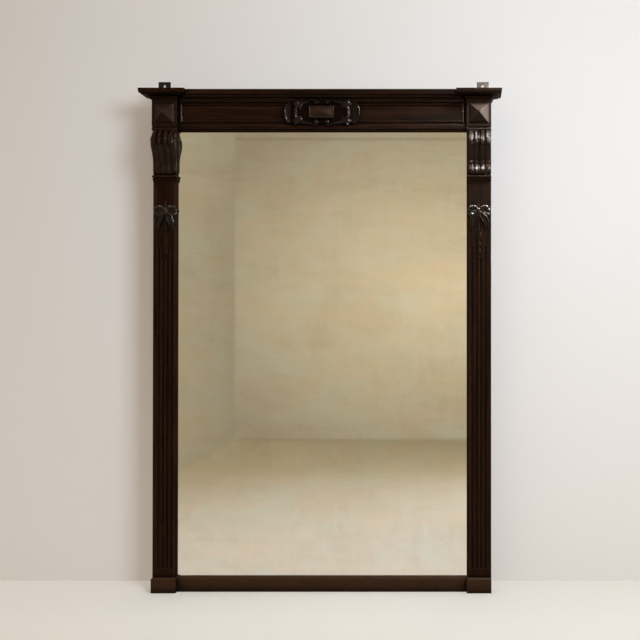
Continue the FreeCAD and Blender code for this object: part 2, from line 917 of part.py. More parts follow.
def make_bow():
    """A ribbon bow carved in relief: two open loops, two pointed tails and a knot."""
    bow = new_body("right_ribbon_bow")
    for side in (-1, 1):
        bow_loop(bow, side)
        bow_tail(bow, side)
    for side in (-1, 1):
        bow_eye(bow, side)
    loft(bow, "XZ_Plane", [
        (0, centred_box(s.knot_width, s.knot_height)),
        (s.knot_rise, centred_box(s.knot_width * KNOT_TAPER, s.knot_height * KNOT_TAPER)),
    ])
    place(bow, pilaster_middle, face, bow_high - s.bow_knot_drop)
    mirror(bow, "left_ribbon_bow")


def make_husks():
    """Bellflower husks in a string, each smaller than the one above."""
    drop = new_body("right_husk_drop")
    sketch = new_sketch(drop, "XZ_Plane")
    step = s.husk_length / HUSK_COUNT
    stem = s.husk_stem / 2
    points = [(0, 0), (stem, 0)]
    for number in range(HUSK_COUNT):
        low = step * number
        wide = s.husk_width / 2 - s.husk_taper * (HUSK_COUNT - 1 - number)
        points.append((wide, low + step * HUSK_SHOULDER, s.husk_bow))
        points.append((stem, low + step))
    points.append((0, s.husk_length))
    draw(sketch, points)
    turned = drop.newObject("PartDesign::Revolution", "Husks")
    turned.Profile = sketch
    turned.ReferenceAxis = (sketch, ["V_Axis"])
    turned.Angle = 180
    turned.Reversed = True
    drop.Tip = turned
    place(drop, pilaster_middle, face, husk_low)
    mirror(drop, "left_husk_drop")


# Frieze

def make_bead(label, length, turn, x, z):
    """One side of the bead frame round the frieze field; its outer edge lies at z = 0."""
    profile = [
        (0, 0), (0, s.bead_width), (-s.bead_fillet, s.bead_width, s.bead_rise - s.bead_fillet),
        (-s.bead_fillet, 0),
    ]
    mitres = mitre_outline(length, s.bead_width)
    bead = mitred_moulding(label, profile, length, "XZ", mitres, 4 * s.bead_rise)
    place(bead, x, face, z, turn, INTO_WALL)


def make_frieze():
    reach = sight - s.bead_margin
    tall = cornice_low - frieze_bead_low
    make_bead("frieze_bottom_bead", 2 * reach, 0, 0, frieze_bead_low)
    make_bead("frieze_top_bead", 2 * reach, 180, 0, cornice_low)
    make_bead("frieze_left_bead", tall, 90, -reach, frieze_middle)
    make_bead("frieze_right_bead", tall, -90, reach, frieze_middle)
    base = new_body("frieze_base_moulding")
    rise = s.bead_rise
    pad(base, "YZ_Plane", [
        (0, 0), (0, s.frieze_base_height),
        (-s.frieze_base_edge, s.frieze_base_height, -rise * QUARTER_RISE),
        (-rise, s.frieze_base_height - s.frieze_base_cove), (-rise, 0),
    ], 2 * sight, middle=True)
    place(base, 0, face, rail_low)


# Cartouche

def both_sides(half):
    """Close an outline by repeating its right half on the left; the half runs from bottom to top."""
    left = []
    for number in range(len(half) - 1, -1, -1):
        across, up = half[number][:2]
        before = half[number - 1] if number else ()
        left.append((-as_size(across), up) + tuple(before[2:]))
    return list(half) + left


def make_cartouche():
    """Strapwork plate: rounded lobes and pointed ears round a sunk field, rebated over the bed mould."""
    plate = new_body("cartouche_strapwork")
    tall = s.cartouche_height / 2
    lobe = s.cartouche_lobe / 2
    rim = s.cartouche_rim
    shoulder = s.cartouche_width / 2 - s.cartouche_lobe_bow
    throat = s.cartouche_ear + 2 * rim
    notch = s.cartouche_waist + 3 * rim
    half = [
        (s.cartouche_waist, -tall), (notch, rim - tall), (s.cartouche_ear, -tall),
        (throat, -lobe, -s.cartouche_throat_bow), (shoulder, -lobe, s.cartouche_lobe_bow),
        (shoulder, lobe, -s.cartouche_throat_bow), (throat, lobe),
        (s.cartouche_ear, tall), (notch, tall - rim), (s.cartouche_waist, tall),
    ]
    pad(plate, "XZ_Plane", both_sides(half), s.cartouche_thickness)
    for side in (-1, 1):
        field = [
            (throat * side, rim - lobe), ((shoulder - rim) * side, rim - lobe, s.cartouche_field_bow * side),
            ((shoulder - rim) * side, lobe - rim), (throat * side, lobe - rim, s.cartouche_hollow_bow * side),
        ]
        pocket(plate, "XZ_Plane", field, s.cartouche_sink, s.cartouche_thickness)
    rebate = box_outline(-s.cartouche_width / 2, s.cartouche_width / 2,
                         cornice_low - frieze_middle - s.fit_clearance, tall)
    pocket(plate, "XZ_Plane", rebate, bed_reach - s.bead_rise + s.fit_clearance, other_way=True)
    place(plate, 0, face - s.bead_rise, frieze_middle)

    inside_low = frieze_bead_low + s.bead_width
    inside_high = cornice_low - s.bead_width
    make_box("cartouche_backing", -s.backing_width / 2, s.backing_width / 2, face - s.bead_rise, face,
             inside_low, inside_high)


def make_scrolls(label, way):
    """A strap with a volute rolled up at each side of the middle, above (1) or below (-1) the boss."""
    scrolls = new_body(label)
    middle = (s.scroll_reach - s.scroll_diameter / 2) * way
    heart = s.scroll_pitch / 2
    for side in (-1, 1):
        volute = new_sketch(scrolls, "XZ_Plane")
        draw_circle(volute, heart * side, middle, s.scroll_diameter)
        extend(scrolls, "Pad", volute, s.scroll_thickness)
    crest = (s.scroll_reach - s.scroll_strap) * way
    root = crest - s.scroll_diameter / 2 * way
    tip = crest - s.scroll_strap * way
    brow = s.scroll_length - s.scroll_slant
    strap = [
        (-s.scroll_length, tip), (-heart, root), (heart, root), (s.scroll_length, tip),
        (brow, crest), (-brow, crest),
    ]
    pad(scrolls, "XZ_Plane", strap, s.scroll_strap_thickness)
    for side in (-1, 1):
        ring = new_sketch(scrolls, "XZ_Plane", s.scroll_thickness)
        draw_circle(ring, heart * side, middle, s.scroll_diameter - 2 * s.scroll_channel)
        draw_circle(ring, heart * side, middle, s.scroll_diameter - 4 * s.scroll_channel)
        extend(scrolls, "Pocket", ring, s.scroll_channel_depth)
    place(scrolls, 0, cartouche_front, frieze_middle)


def make_boss():
    """The pointed cabochon in the middle of the cartouche, in its raised frame."""
    boss = new_body("cartouche_boss")
    field = s.boss_frame_rise / 2
    frame = centred_box(s.boss_width + 2 * s.boss_frame, s.boss_height + 2 * s.boss_frame)
    inside = centred_box(s.boss_width, s.boss_height)
    pad(boss, "XZ_Plane", frame, s.boss_frame_rise)
    pocket(boss, "XZ_Plane", inside, field, s.boss_frame_rise)
    loft(boss, "XZ_Plane", [(field, inside), (field + s.boss_rise, centred_box(s.apex_width, s.apex_width))])
    place(boss, 0, cartouche_front, frieze_middle)


# Cornice

def cornice_profile():
    """Bed mould, cove, fillets, soffit and fascia as (outward, up, rise) from the wall line."""
    outer = s.cornice_projection
    lip = outer - s.fascia_lean
    soffit = s.cornice_height - s.fascia_height
    cove_low = s.bed_height + s.cove_fillet
    neck = s.cove_projection + s.cove_step
    neck_high = s.cove_height + s.neck_fillet
    return [
        (0, 0), (s.bed_fillet, 0, s.bed_height * QUARTER_RISE), (s.bed_projection, s.bed_height),
        (bed_reach, s.bed_height), (bed_reach, cove_low, (cove_low - s.cove_height) * QUARTER_RISE),
        (s.cove_projection, s.cove_height), (neck, s.cove_height),
        (neck, neck_high, (neck_high - soffit) * QUARTER_RISE), (lip - s.soffit_depth, soffit), (lip, soffit),
        (outer, s.cornice_height), (0, s.cornice_height),
    ]


def cornice_run(label, wall, edge, x, y, turn):
    """One mitred length of cornice: wall and edge give its ends on the wall line and on the fascia.

    Its mitres are drawn on past both, clear of the moulding.
    """
    outer = s.cornice_projection
    behind = [2 * wall[number] - edge[number] for number in (0, 1)]
    beyond = [2 * edge[number] - wall[number] for number in (0, 1)]
    plan = [(behind[0], -outer), (behind[1], -outer), (beyond[1], 2 * outer), (beyond[0], 2 * outer)]
    run = 2 * (half_width + outer)
    piece = mitred_moulding(label, cornice_profile(), run, "XY", plan, 4 * s.cornice_height)
    place(piece, x, y, cornice_low, turn)
    return piece


def make_cornice():
    outer = s.cornice_projection
    half = pilaster_width / 2
    cornice_run("cornice_centre", (-sight, sight), (outer - sight, sight - outer), 0, face, 180)
    front = cornice_run("right_cornice_front", (-half, half), (-half - outer, half + outer),
                        pilaster_middle, block_face, 180)
    side = cornice_run("right_cornice_side_return", (block_face - back, 0), (block_face - back, outer),
                       half_width, block_face, -90)
    inside = cornice_run("right_cornice_inner_return", (0, s.block_depth), (-outer, s.block_depth - outer),
                         sight, block_face, 90)
    mirror(front, "left_cornice_front")
    mirror(side, "left_cornice_side_return")
    mirror(inside, "left_cornice_inner_return")


def make_top_board():
    """The dust board that lies on the frame and the end blocks, in front of the hanging plates."""
    board = new_body("cornice_top_board")
    rear = back - s.plate_thickness
    pad(board, "XY_Plane", [
        (-half_width, block_face), (-sight, block_face), (-sight, face), (sight, face), (sight, block_face),
        (half_width, block_face), (half_width, rear), (-half_width, rear),
    ], s.top_board_thickness)
    place(board, 0, 0, stile_top)


# Hanging plates

def make_plate():
    """An iron plate let into the back of the stile; its keyhole stands above the cornice."""
    plate = new_body("right_hanging_plate")
    half = s.plate_width / 2
    height = s.plate_let_in + s.top_board_thickness + s.plate_rise
    pad(plate, "XZ_Plane", box_outline(-half, half, 0, height), s.plate_thickness)
    slot = s.keyhole_slot / 2
    slot_top = height - s.keyhole_lip
    head = slot_top - s.keyhole_travel
    slit = [
        (-slot, head), (slot, head), (slot, slot_top - slot, slot * QUARTER_RISE),
        (0, slot_top, slot * QUARTER_RISE), (-slot, slot_top - slot),
    ]
    pocket(plate, "XZ_Plane", slit, s.plate_thickness, s.plate_thickness)
    drill(plate, "XZ_Plane", [(0, head)], s.keyhole_diameter, s.plate_thickness, s.plate_thickness)
    holes = [(0, level - plate_low) for level in screw_heights]
    drill(plate, "XZ_Plane", holes, s.screw_diameter + s.fit_clearance, s.plate_thickness, s.plate_thickness)
    drill(plate, "XZ_Plane", holes, s.screw_head_diameter, s.screw_head_height, 0, other_way=True)
    place(plate, inner + plate_across, back, plate_low)
    mirror(plate, "left_hanging_plate")


def make_plate_screws():
    """Wood screws that hold the plates, with their heads let in flush."""
    solids = []
    head_diameter = s.screw_head_diameter - s.fit_clearance
    for side in (-1, 1):
        across = side * (inner + plate_across).value
        for height in screw_heights:
            shank = lying_cylinder(s.screw_diameter, s.screw_length, across, back.value, height.value)
            head = lying_cylinder(head_diameter, s.screw_head_height, across, back.value, height.value)
            solids.append(shank.fuse(head).removeSplitter().Solids[0])
    group("hanging_plate_screws", solids)


def build():
    make_stile()
    make_rails()
    make_pegs()
    make_slips()
    make_glass()
    make_wedges()
    make_backboards()
    make_nails()
    make_plinth()
    make_end_block()
    make_block_moulding()
    make_diamond()
    make_console()
    make_necking()
    make_bow()
    make_husks()
    make_frieze()
    make_cartouche()
    make_scrolls("cartouche_top_scrolls", 1)
    make_scrolls("cartouche_bottom_scrolls", -1)
    make_boss()
    make_cornice()
    make_top_board()
    make_plate()
    make_plate_screws()


def export():
    """Check every object and solid, then write one file for each piece."""
    doc.recompute()
    for item in doc.Objects:
        if {"Invalid", "Error"} & set(item.State):
            raise RuntimeError(f"{item.Label} did not build")
    for node in nodes:
        if node.Shape.isNull() or not node.Shape.isValid() or not node.Shape.Solids:
            raise RuntimeError(f"{node.Label} is not a sound solid")
    os.makedirs("parts", exist_ok=True)
    for node in nodes:
        node.Shape.exportStep(f"parts/{node.Label}.step")
    print(len(nodes), "pieces written")


build()
export()
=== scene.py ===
import math

import bpy
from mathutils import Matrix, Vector


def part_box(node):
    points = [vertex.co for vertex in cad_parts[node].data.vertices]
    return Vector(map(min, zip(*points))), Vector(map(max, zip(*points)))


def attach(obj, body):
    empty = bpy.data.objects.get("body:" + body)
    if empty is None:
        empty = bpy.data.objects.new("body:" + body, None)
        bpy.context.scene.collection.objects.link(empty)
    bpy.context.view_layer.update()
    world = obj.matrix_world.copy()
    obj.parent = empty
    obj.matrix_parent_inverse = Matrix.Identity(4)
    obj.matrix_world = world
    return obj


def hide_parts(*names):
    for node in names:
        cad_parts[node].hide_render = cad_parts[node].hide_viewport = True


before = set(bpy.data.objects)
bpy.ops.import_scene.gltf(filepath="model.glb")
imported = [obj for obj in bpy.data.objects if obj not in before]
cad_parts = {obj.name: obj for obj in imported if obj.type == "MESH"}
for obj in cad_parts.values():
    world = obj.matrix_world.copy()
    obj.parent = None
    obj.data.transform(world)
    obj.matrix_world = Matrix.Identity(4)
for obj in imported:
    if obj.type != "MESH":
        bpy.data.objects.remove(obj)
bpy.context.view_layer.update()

bl_info = {
    "name": "Carved Oak Pier Mirror",
    "version": (1, 0, 0),
    "blender": (4, 5, 0),
    "location": "View3D > Sidebar > Mirror",
    "description": "Carves, finishes and lights a tall oak mirror over its packed frame",
    "category": "Object",
}

BODY = "root"
MM = 0.001
SIDES = {"left": -1, "right": 1}
QUARTER = math.pi / 2
# Depth left for the carving on a console's cheek, in millimetres
CHEEK = 3


# Sizes and colours that a user would change

def length(name, description, millimetres):
    """A length property, written in millimetres and kept in metres."""
    return bpy.props.FloatProperty(
        name=name, description=description, default=millimetres * MM, unit="LENGTH", precision=4)


def colour(name, description, red, green, blue):
    """A linear colour property."""
    return bpy.props.FloatVectorProperty(
        name=name, description=description, default=(red, green, blue), subtype="COLOR", min=0, max=1)


def power(name, description, watts):
    """A property for the power of a lamp."""
    return bpy.props.FloatProperty(name=name, description=description, default=watts, unit="POWER")


def position(name, description, x, y, z):
    """A property for a place in the scene, in metres."""
    return bpy.props.FloatVectorProperty(
        name=name, description=description, default=(x, y, z), subtype="TRANSLATION", unit="LENGTH")


class CarvingSizes(bpy.types.PropertyGroup):
    """Sizes of the carved pieces."""

    skin: length("Skin", "Cell size of the carved skins", 0.9)
    roll_height: length("Roll height", "How far the console's rolls stand out", 8)
    bead_height: length("Bead height", "How far the console's middle bead stands out", 4)
    leaf_lip: length("Leaf lip", "Step under the tips of the console's turned leaf", 3.2)
    foot_corner: length("Foot corner", "Radius of the round at the console's foot", 36)
    cheek_volute: length("Cheek volute", "Outer radius of the scroll on a console's cheek", 17)
    cornice_run: length("Cornice run", "Height of the cornice round the end blocks", 37)
    volute: length("Volute", "Outer radius of the cartouche's volutes", 12)
    strap: length("Strap", "Half width of the cartouche's straps", 5)
    ribbon: length("Ribbon", "Half width of the bow's ribbon", 9)
    knot: length("Knot", "Half width of the bow's knot", 8.5)


class MirrorColours(bpy.types.PropertyGroup):
    """Colours of the mirror's finishes."""

    oak_dark: colour("Oak, dark", "Dark streaks of the stained oak", 0.0090, 0.0030, 0.0012)
    oak_light: colour("Oak, light", "Light streaks of the stained oak", 0.039, 0.0140, 0.0056)
    # Also the colour of the painted light on oak surfaces that face up
    oak_worn_and_lit: colour("Oak, worn", "Stain rubbed thin along the edges", 0.118, 0.066, 0.038)
    # Also the colour of the painted shade in hollows and on surfaces facing down
    oak_grime_and_shade: colour("Oak, grime", "Old wax and dirt in the hollows", 0.0016, 0.0011, 0.0007)
    silver: colour("Silver", "Clear silvering of the glass", 0.88, 0.83, 0.75)
    smoke: colour("Smoke", "Clouded silvering of the glass", 0.74, 0.68, 0.57)
    haze: colour("Haze", "Cool bloom on the glass", 0.80, 0.81, 0.735)
    tinge: colour("Tinge", "Warm stain in the silvering", 0.86, 0.74, 0.60)
    foxing: colour("Foxing", "Spots where the silvering has gone", 0.34, 0.27, 0.17)
    pine_light: colour("Pine, light", "Pale wood of the backboards", 0.40, 0.27, 0.15)
    pine_dark: colour("Pine, dark", "Late wood and dust of the backboards", 0.20, 0.12, 0.06)
    pine_grime: colour("Pine, grime", "Dirt in the joints of the backboards", 0.03, 0.018, 0.009)
    plate: colour("Plate", "Dull iron of the hanging plates", 0.027, 0.0255, 0.0225)
    rust: colour("Rust", "Rust on the iron", 0.085, 0.045, 0.022)


class StudioSettings(bpy.types.PropertyGroup):
    """Camera, lamps, floor and backdrops."""

    camera_place: position("Camera place", "Where the camera stands", 0.578, -3.788, 1.139)
    key_place: position("Key place", "Where the soft key lamp hangs", 1.75, -2.6, 2.4)
    side_sheen_place: position("Side sheen place", "Where the lower wax lamp hangs", 1.43, -0.24, 2.18)
    top_sheen_place: position("Top sheen place", "Where the upper wax lamp hangs", 1.05, -0.6, 2.75)
    key_target: position("Key target", "What the soft key lamp faces", 0, 0, 1.2)
    sheen_target: position("Sheen target", "What the lamps for the wax face", 0.65, 0, 1.85)
    lens: bpy.props.FloatProperty(
        name="Lens", description="Focal length on a sensor 36 mm wide", default=50.9, unit="CAMERA")
    tilt: bpy.props.FloatProperty(
        name="Tilt", description="How far the camera looks up", default=math.radians(0.41), subtype="ANGLE")
    shift: bpy.props.FloatVectorProperty(
        name="Shift", description="Shift of the picture sideways and up, as shares of its width",
        default=(-0.2183, -0.0101), size=2)
    stage_width: length("Stage width", "Width of the floor and of the walls", 16000)
    wall_height: length("Wall height", "Height of the walls", 8000)
    wall_place: length("Wall place", "How far the wall stands behind the pilasters' plane", 177)
    far_wall_place: length("Far wall place", "How far the facing backdrop stands from the glass", 4750)
    line_drop: length("Line drop", "How far the line on the facing backdrop is below its middle", 1143)
    side_wall_place: length("Side wall place", "Where the wall beside the facing backdrop stands", -1555)
    side_wall_length: length("Side wall length", "How far the side wall comes forward", 4700)
    key_strength: power("Key strength", "Power of the soft lamp at the right", 71)
    sheen_strength: power("Sheen strength", "Power of the lamps that only show in the wax", 22)
    world_strength: bpy.props.FloatProperty(
        name="World strength", description="Level of the light from all round", default=0.55)
    wall: colour("Wall", "Paint of the wall behind the mirror", 0.80, 0.79, 0.77)
    floor: colour("Floor", "Pale floor by the mirror", 0.89, 0.885, 0.86)
    floor_far: colour("Floor, far", "Floor by the facing backdrop", 0.568, 0.520, 0.388)
    floor_bounce: colour("Floor bounce", "Tone of the light that the floor throws back", 0.35, 0.31, 0.26)
    wall_glow: colour("Wall glow", "Tone of the light that fills the wall", 1.0, 0.90, 0.78)
    far_wall: colour("Far wall", "Tone of the facing backdrop", 0.558, 0.489, 0.350)
    key_tint: colour("Key tint", "Tone of the soft key lamp", 0.79, 0.87, 1.0)
    sheen_tint: colour("Sheen tint", "Tone of the lamps for the wax", 1.0, 0.94, 0.89)
    air: colour("Air", "Tone of the light from all round", 1.0, 0.865, 0.70)


# Lines and grounds that carving follows

class Ground:
    """A flat ground that carving stands on, with its directions across, up and outwards."""

    def __init__(self, origin, across, up, out):
        self.origin = Vector(origin)
        self.across = Vector(across)
        self.up = Vector(up)
        self.out = Vector(out)

    def point(self, across, up, height):
        """The place of a point given in millimetres on this ground."""
        return self.origin + (self.across * across + self.up * up + self.out * height) * MM


def front_ground(x, y, z, side=1):
    """A ground that faces the front, with its across direction towards the given side."""
    return Ground((x, y, z), (side, 0, 0), (0, 0, 1), (0, -1, 0))


def smooth_line(*points):
    """A smooth line through the points, as a function of the share travelled."""
    ends = [points[0], *points, points[-1]]

    def at(share):
        place = min(max(share, 0), 1) * (len(points) - 1)
        step = min(int(place), len(points) - 2)
        t = place - step
        a, b, c, d = (Vector(point) for point in ends[step:step + 4])
        square = 2 * a - 5 * b + 4 * c - d
        cube = 3 * b - a - 3 * c + d
        return 0.5 * (2 * b + (c - a) * t + square * t**2 + cube * t**3)
    return at


def spiral(centre, outer, inner, turns, start):
    """A volute's line from its outer end to its eye, with its start as an angle in degrees."""
    def at(share):
        radius = outer * (inner / outer) ** share
        angle = math.radians(start) + turns * math.tau * share
        return Vector((centre[0] + radius * math.cos(angle), centre[1] + radius * math.sin(angle)))
    return at


def chain(first, second, part):
    """Two lines, one after the other, where the first takes the given part of the share."""
    def at(share):
        if share < part:
            return first(share / part)
        return second((share - part) / (1 - part))
    return at


def heading(line, share):
    """The direction to the right of a line's travel."""
    step = 0.002
    travel = line(min(share + step, 1)) - line(max(share - step, 0))
    return Vector((travel[1], -travel[0])).normalized()


def dome(across):
    """A half round section, from its middle at 0 to its edges at 1 and -1."""
    return math.sqrt(max(0, 1 - across * across))


def hump(share, middle, half):
    """A soft rise that is 1 at the middle and 0 beyond half a width on each side."""
    off = abs(share - middle) / half
    return 0 if off > 1 else 0.5 + 0.5 * math.cos(math.pi * off)


def ease(share):
    """A soft step from 0 to 1."""
    share = min(max(share, 0), 1)
    return share * share * (3 - 2 * share)


# Modelling steps that the carved pieces share

def shape_grid(columns, rows, place):
    """A grid whose points go where place says, given across from -1 to 1 and along from 0 to 1."""
    bpy.ops.object.select_all(action="DESELECT")
    bpy.ops.mesh.primitive_grid_add(x_subdivisions=columns, y_subdivisions=rows, size=1)
    sheet = bpy.context.object
    for vertex in sheet.data.vertices:
        vertex.co = place(2 * vertex.co.x, vertex.co.y + 0.5)
    return sheet


def face_outwards():
    """Turns all faces of the mesh being edited outwards, and ends the edit."""
    bpy.ops.mesh.select_all(action="SELECT")
    bpy.ops.mesh.normals_make_consistent(inside=False)
    bpy.ops.object.mode_set(mode="OBJECT")


def thicken(sheet, travel):
    """Gives an open sheet a back and sides, by extruding it along the travel."""
    bpy.ops.object.mode_set(mode="EDIT")
    bpy.ops.mesh.select_all(action="SELECT")
    bpy.ops.mesh.extrude_region_move(TRANSFORM_OT_translate={"value": travel})
    face_outwards()
    return sheet


def carve_strip(ground, spine, half_width, height, rows=60, columns=12, back=24):
    """A strip along a spine, raised off its ground, as a closed solid. All sizes are in millimetres."""
    known = {}

    def place(across, along):
        key = round(along, 5)
        if key not in known:
            known[key] = (spine(along), heading(spine, along))
        point, side = known[key]
        point = point + side * (across * half_width(along))
        return ground.point(point[0], point[1], height(along, across))

    return thicken(shape_grid(columns, rows, place), ground.out * (-back * MM))


def carve_ball(ground, across, up, height, half_sizes):
    """A round boss on a ground, from a sphere of the given half sizes in millimetres."""
    bpy.ops.object.select_all(action="DESELECT")
    axes = (ground.across, ground.up, ground.out)
    turned = [abs(sum(axis[i] * half for axis, half in zip(axes, half_sizes))) * MM for i in range(3)]
    bpy.ops.mesh.primitive_uv_sphere_add(
        segments=32, ring_count=18, radius=1, location=ground.point(across, up, height), scale=turned)
    bpy.ops.object.transform_apply(location=True, rotation=True, scale=True)
    return bpy.context.object


def call(piece, name):
    """Names a piece and its mesh."""
    piece.name = name
    piece.data.name = name


def back_cut(y):
    """The cut that leaves a carved piece flat at its seat."""
    return Vector((0, y, 0)), (0, 1, 0)


def apply_modifier(piece, name, kind, **settings):
    """Adds a modifier to a piece and applies it."""
    modifier = piece.modifiers.new(name, kind)
    for key, value in settings.items():
        setattr(modifier, key, value)
    bpy.ops.object.modifier_apply(modifier=modifier.name)


def trim(point, outwards):
    """Cuts the active piece flat along a plane and closes the cut."""
    bpy.ops.object.mode_set(mode="EDIT")
    bpy.ops.mesh.select_all(action="SELECT")
    bpy.ops.mesh.bisect(plane_co=point, plane_no=outwards, use_fill=True, clear_outer=True)
    face_outwards()


def fuse(name, parts, cuts, cell, relax=2):
    """Joins closed solids under one carved skin, softens it and trims it flat at its seats."""
    bpy.ops.object.select_all(action="DESELECT")
    for part in parts:
        part.select_set(True)
    bpy.context.view_layer.objects.active = parts[0]
    bpy.ops.object.join()
    piece = bpy.context.object
    call(piece, name)
    apply_modifier(piece, "Carved skin", "REMESH", mode="VOXEL", voxel_size=cell, use_smooth_shade=True)
    apply_modifier(piece, "Worn edges", "SMOOTH", factor=0.5, iterations=relax)
    for point, outwards in cuts:
        trim(point, outwards)
    return piece


def hand_over(piece, finish, *nodes):
    """Gives a carved piece its finish and lets it stand for its nodes of the frame."""
    piece.data.materials.clear()
    piece.data.materials.append(finish)
    bpy.ops.object.shade_smooth_by_angle(angle=math.radians(50))
    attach(piece, BODY)
    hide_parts(*nodes)


# Nodes of the finishes

def fill(tree, node, inputs):
    """Sets inputs of a shader node, given as values or as sockets to link."""
    for key, value in inputs.items():
        if isinstance(value, bpy.types.NodeSocket):
            tree.links.new(value, node.inputs[key])
        else:
            node.inputs[key].default_value = value


def add(tree, kind, inputs=None, **settings):
    """Adds a shader node with its inputs and settings."""
    node = tree.nodes.new("ShaderNode" + kind)
    for key, value in settings.items():
        setattr(node, key, value)
    fill(tree, node, inputs or {})
    return node


def start_finish(name):
    """A new material with a surface shader, and its tree, shader and object coordinates."""
    finish = bpy.data.materials.new(name)
    finish.use_nodes = True
    tree = finish.node_tree
    tree.nodes.clear()
    surface = add(tree, "BsdfPrincipled")
    add(tree, "OutputMaterial", {"Surface": surface.outputs["BSDF"]})
    coordinates = add(tree, "TexCoord").outputs["Object"]
    return finish, tree, surface, coordinates


def noise(tree, coordinates, stretch, scale, detail=3, roughness=0.55, distortion=0):
    """Noise over coordinates that are first scaled by stretch."""
    mapped = add(tree, "Mapping", {"Vector": coordinates, "Scale": stretch})
    made = add(tree, "TexNoise", {
        "Vector": mapped.outputs["Vector"], "Scale": scale, "Detail": detail,
        "Roughness": roughness, "Distortion": distortion})
    return made.outputs["Fac"]


def rise(tree, value, low, high, bottom=0, top=1):
    """A value spread from its low and high marks to a new bottom and top."""
    spread = add(tree, "MapRange", {
        "Value": value, "From Min": low, "From Max": high, "To Min": bottom, "To Max": top})
    return spread.outputs["Result"]


def reckon(tree, operation, first, second):
    """One sum on values or sockets."""
    return add(tree, "Math", {0: first, 1: second}, operation=operation).outputs[0]


def blend(tree, share, first, second):
    """Mixes two colours."""
    return add(tree, "Mix", {0: share, 6: first, 7: second}, data_type="RGBA").outputs[2]


def opaque(shade):
    """A colour property as the four values that a socket takes."""
    return (*shade, 1)


def dress(finish, *nodes):
    """Puts a finish on nodes of the frame."""
    for node in nodes:
        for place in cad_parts[node].material_slots:
            place.material = finish


def along_grain(axis, along):
    """Scales that draw a pattern out along one axis."""
    return tuple(along if name == axis else 1 for name in "XYZ")


def oak_finish(name, axis, dirt_and_shade_reach=0.010, polish=0.05, matt=0.42, pale=0.0):
    """Dark stained and waxed oak, with its grain along one axis; tops get painted light, hollows and
    undersides painted shade.
    """
    shades = bpy.context.scene.mirror_colours
    finish, tree, surface, place = start_finish(name)
    figure = noise(tree, place, along_grain(axis, 0.05), 55, 7, 0.62, 0.6)
    pores = noise(tree, place, along_grain(axis, 0.035), 520, 2, 0.5)
    patches = noise(tree, place, along_grain(axis, 0.3), 6, 3)
    streaks = rise(tree, figure, 0.34 - pale, 0.68 - pale)
    wood = blend(tree, streaks, opaque(shades.oak_dark), opaque(shades.oak_light))
    wood = blend(tree, rise(tree, patches, 0.35, 0.7, 0, 0.5), wood, opaque(shades.oak_dark))
    wood = blend(tree, 0.8 * max(0, pale), wood, opaque(shades.oak_worn_and_lit))
    open_pores = rise(tree, pores, 0.56, 0.66)
    wood = blend(tree, reckon(tree, "MULTIPLY", open_pores, 0.6), wood, opaque(shades.oak_grime_and_shade))
    soft_edge = add(tree, "Bevel", {"Radius": 0.003}, samples=6).outputs["Normal"]
    flat = add(tree, "NewGeometry").outputs["Normal"]
    bend = add(tree, "VectorMath", {0: soft_edge, 1: flat}, operation="DOT_PRODUCT").outputs["Value"]
    worn_and_lit = reckon(tree, "MULTIPLY", rise(tree, bend, 0.985, 0.80), rise(tree, patches, 0.3, 0.6, 0.3, 1))
    facing = add(tree, "SeparateXYZ", {"Vector": flat}).outputs["Z"]
    # Painted light: surfaces that face up take the worn colour, along with the rubbed edges
    worn_and_lit = reckon(tree, "MAXIMUM", worn_and_lit, rise(tree, facing, 0.4, 0.9, 0, 0.35))
    wood = blend(tree, worn_and_lit, wood, opaque(shades.oak_worn_and_lit))
    # Painted shade: hollows and surfaces facing down go towards the grime colour
    clear = add(tree, "AmbientOcclusion", {"Distance": dirt_and_shade_reach}, samples=6).outputs["AO"]
    hollow = add(tree, "AmbientOcclusion", {"Distance": 5 * dirt_and_shade_reach}, samples=6).outputs["AO"]
    grime_and_shade = reckon(
        tree, "MAXIMUM", rise(tree, clear, 0.85, 0.35, 0, 0.95), rise(tree, hollow, 0.92, 0.5, 0, 0.8))
    grime_and_shade = reckon(tree, "MAXIMUM", grime_and_shade, rise(tree, facing, -0.25, -0.75, 0, 0.75))
    wood = blend(tree, grime_and_shade, wood, opaque(shades.oak_grime_and_shade))
    gloss = rise(tree, patches, 0.3, 0.7, matt - 0.05, matt + 0.05)
    relief = reckon(tree, "SUBTRACT", reckon(tree, "MULTIPLY", figure, 0.5), open_pores)
    bumped = add(
        tree, "Bump", {"Height": relief, "Normal": soft_edge, "Strength": 0.25, "Distance": 0.0004})
    fill(tree, surface, {
        "Base Color": wood, "Roughness": gloss, "Specular IOR Level": polish,
        "Normal": bumped.outputs["Normal"]})
    return finish


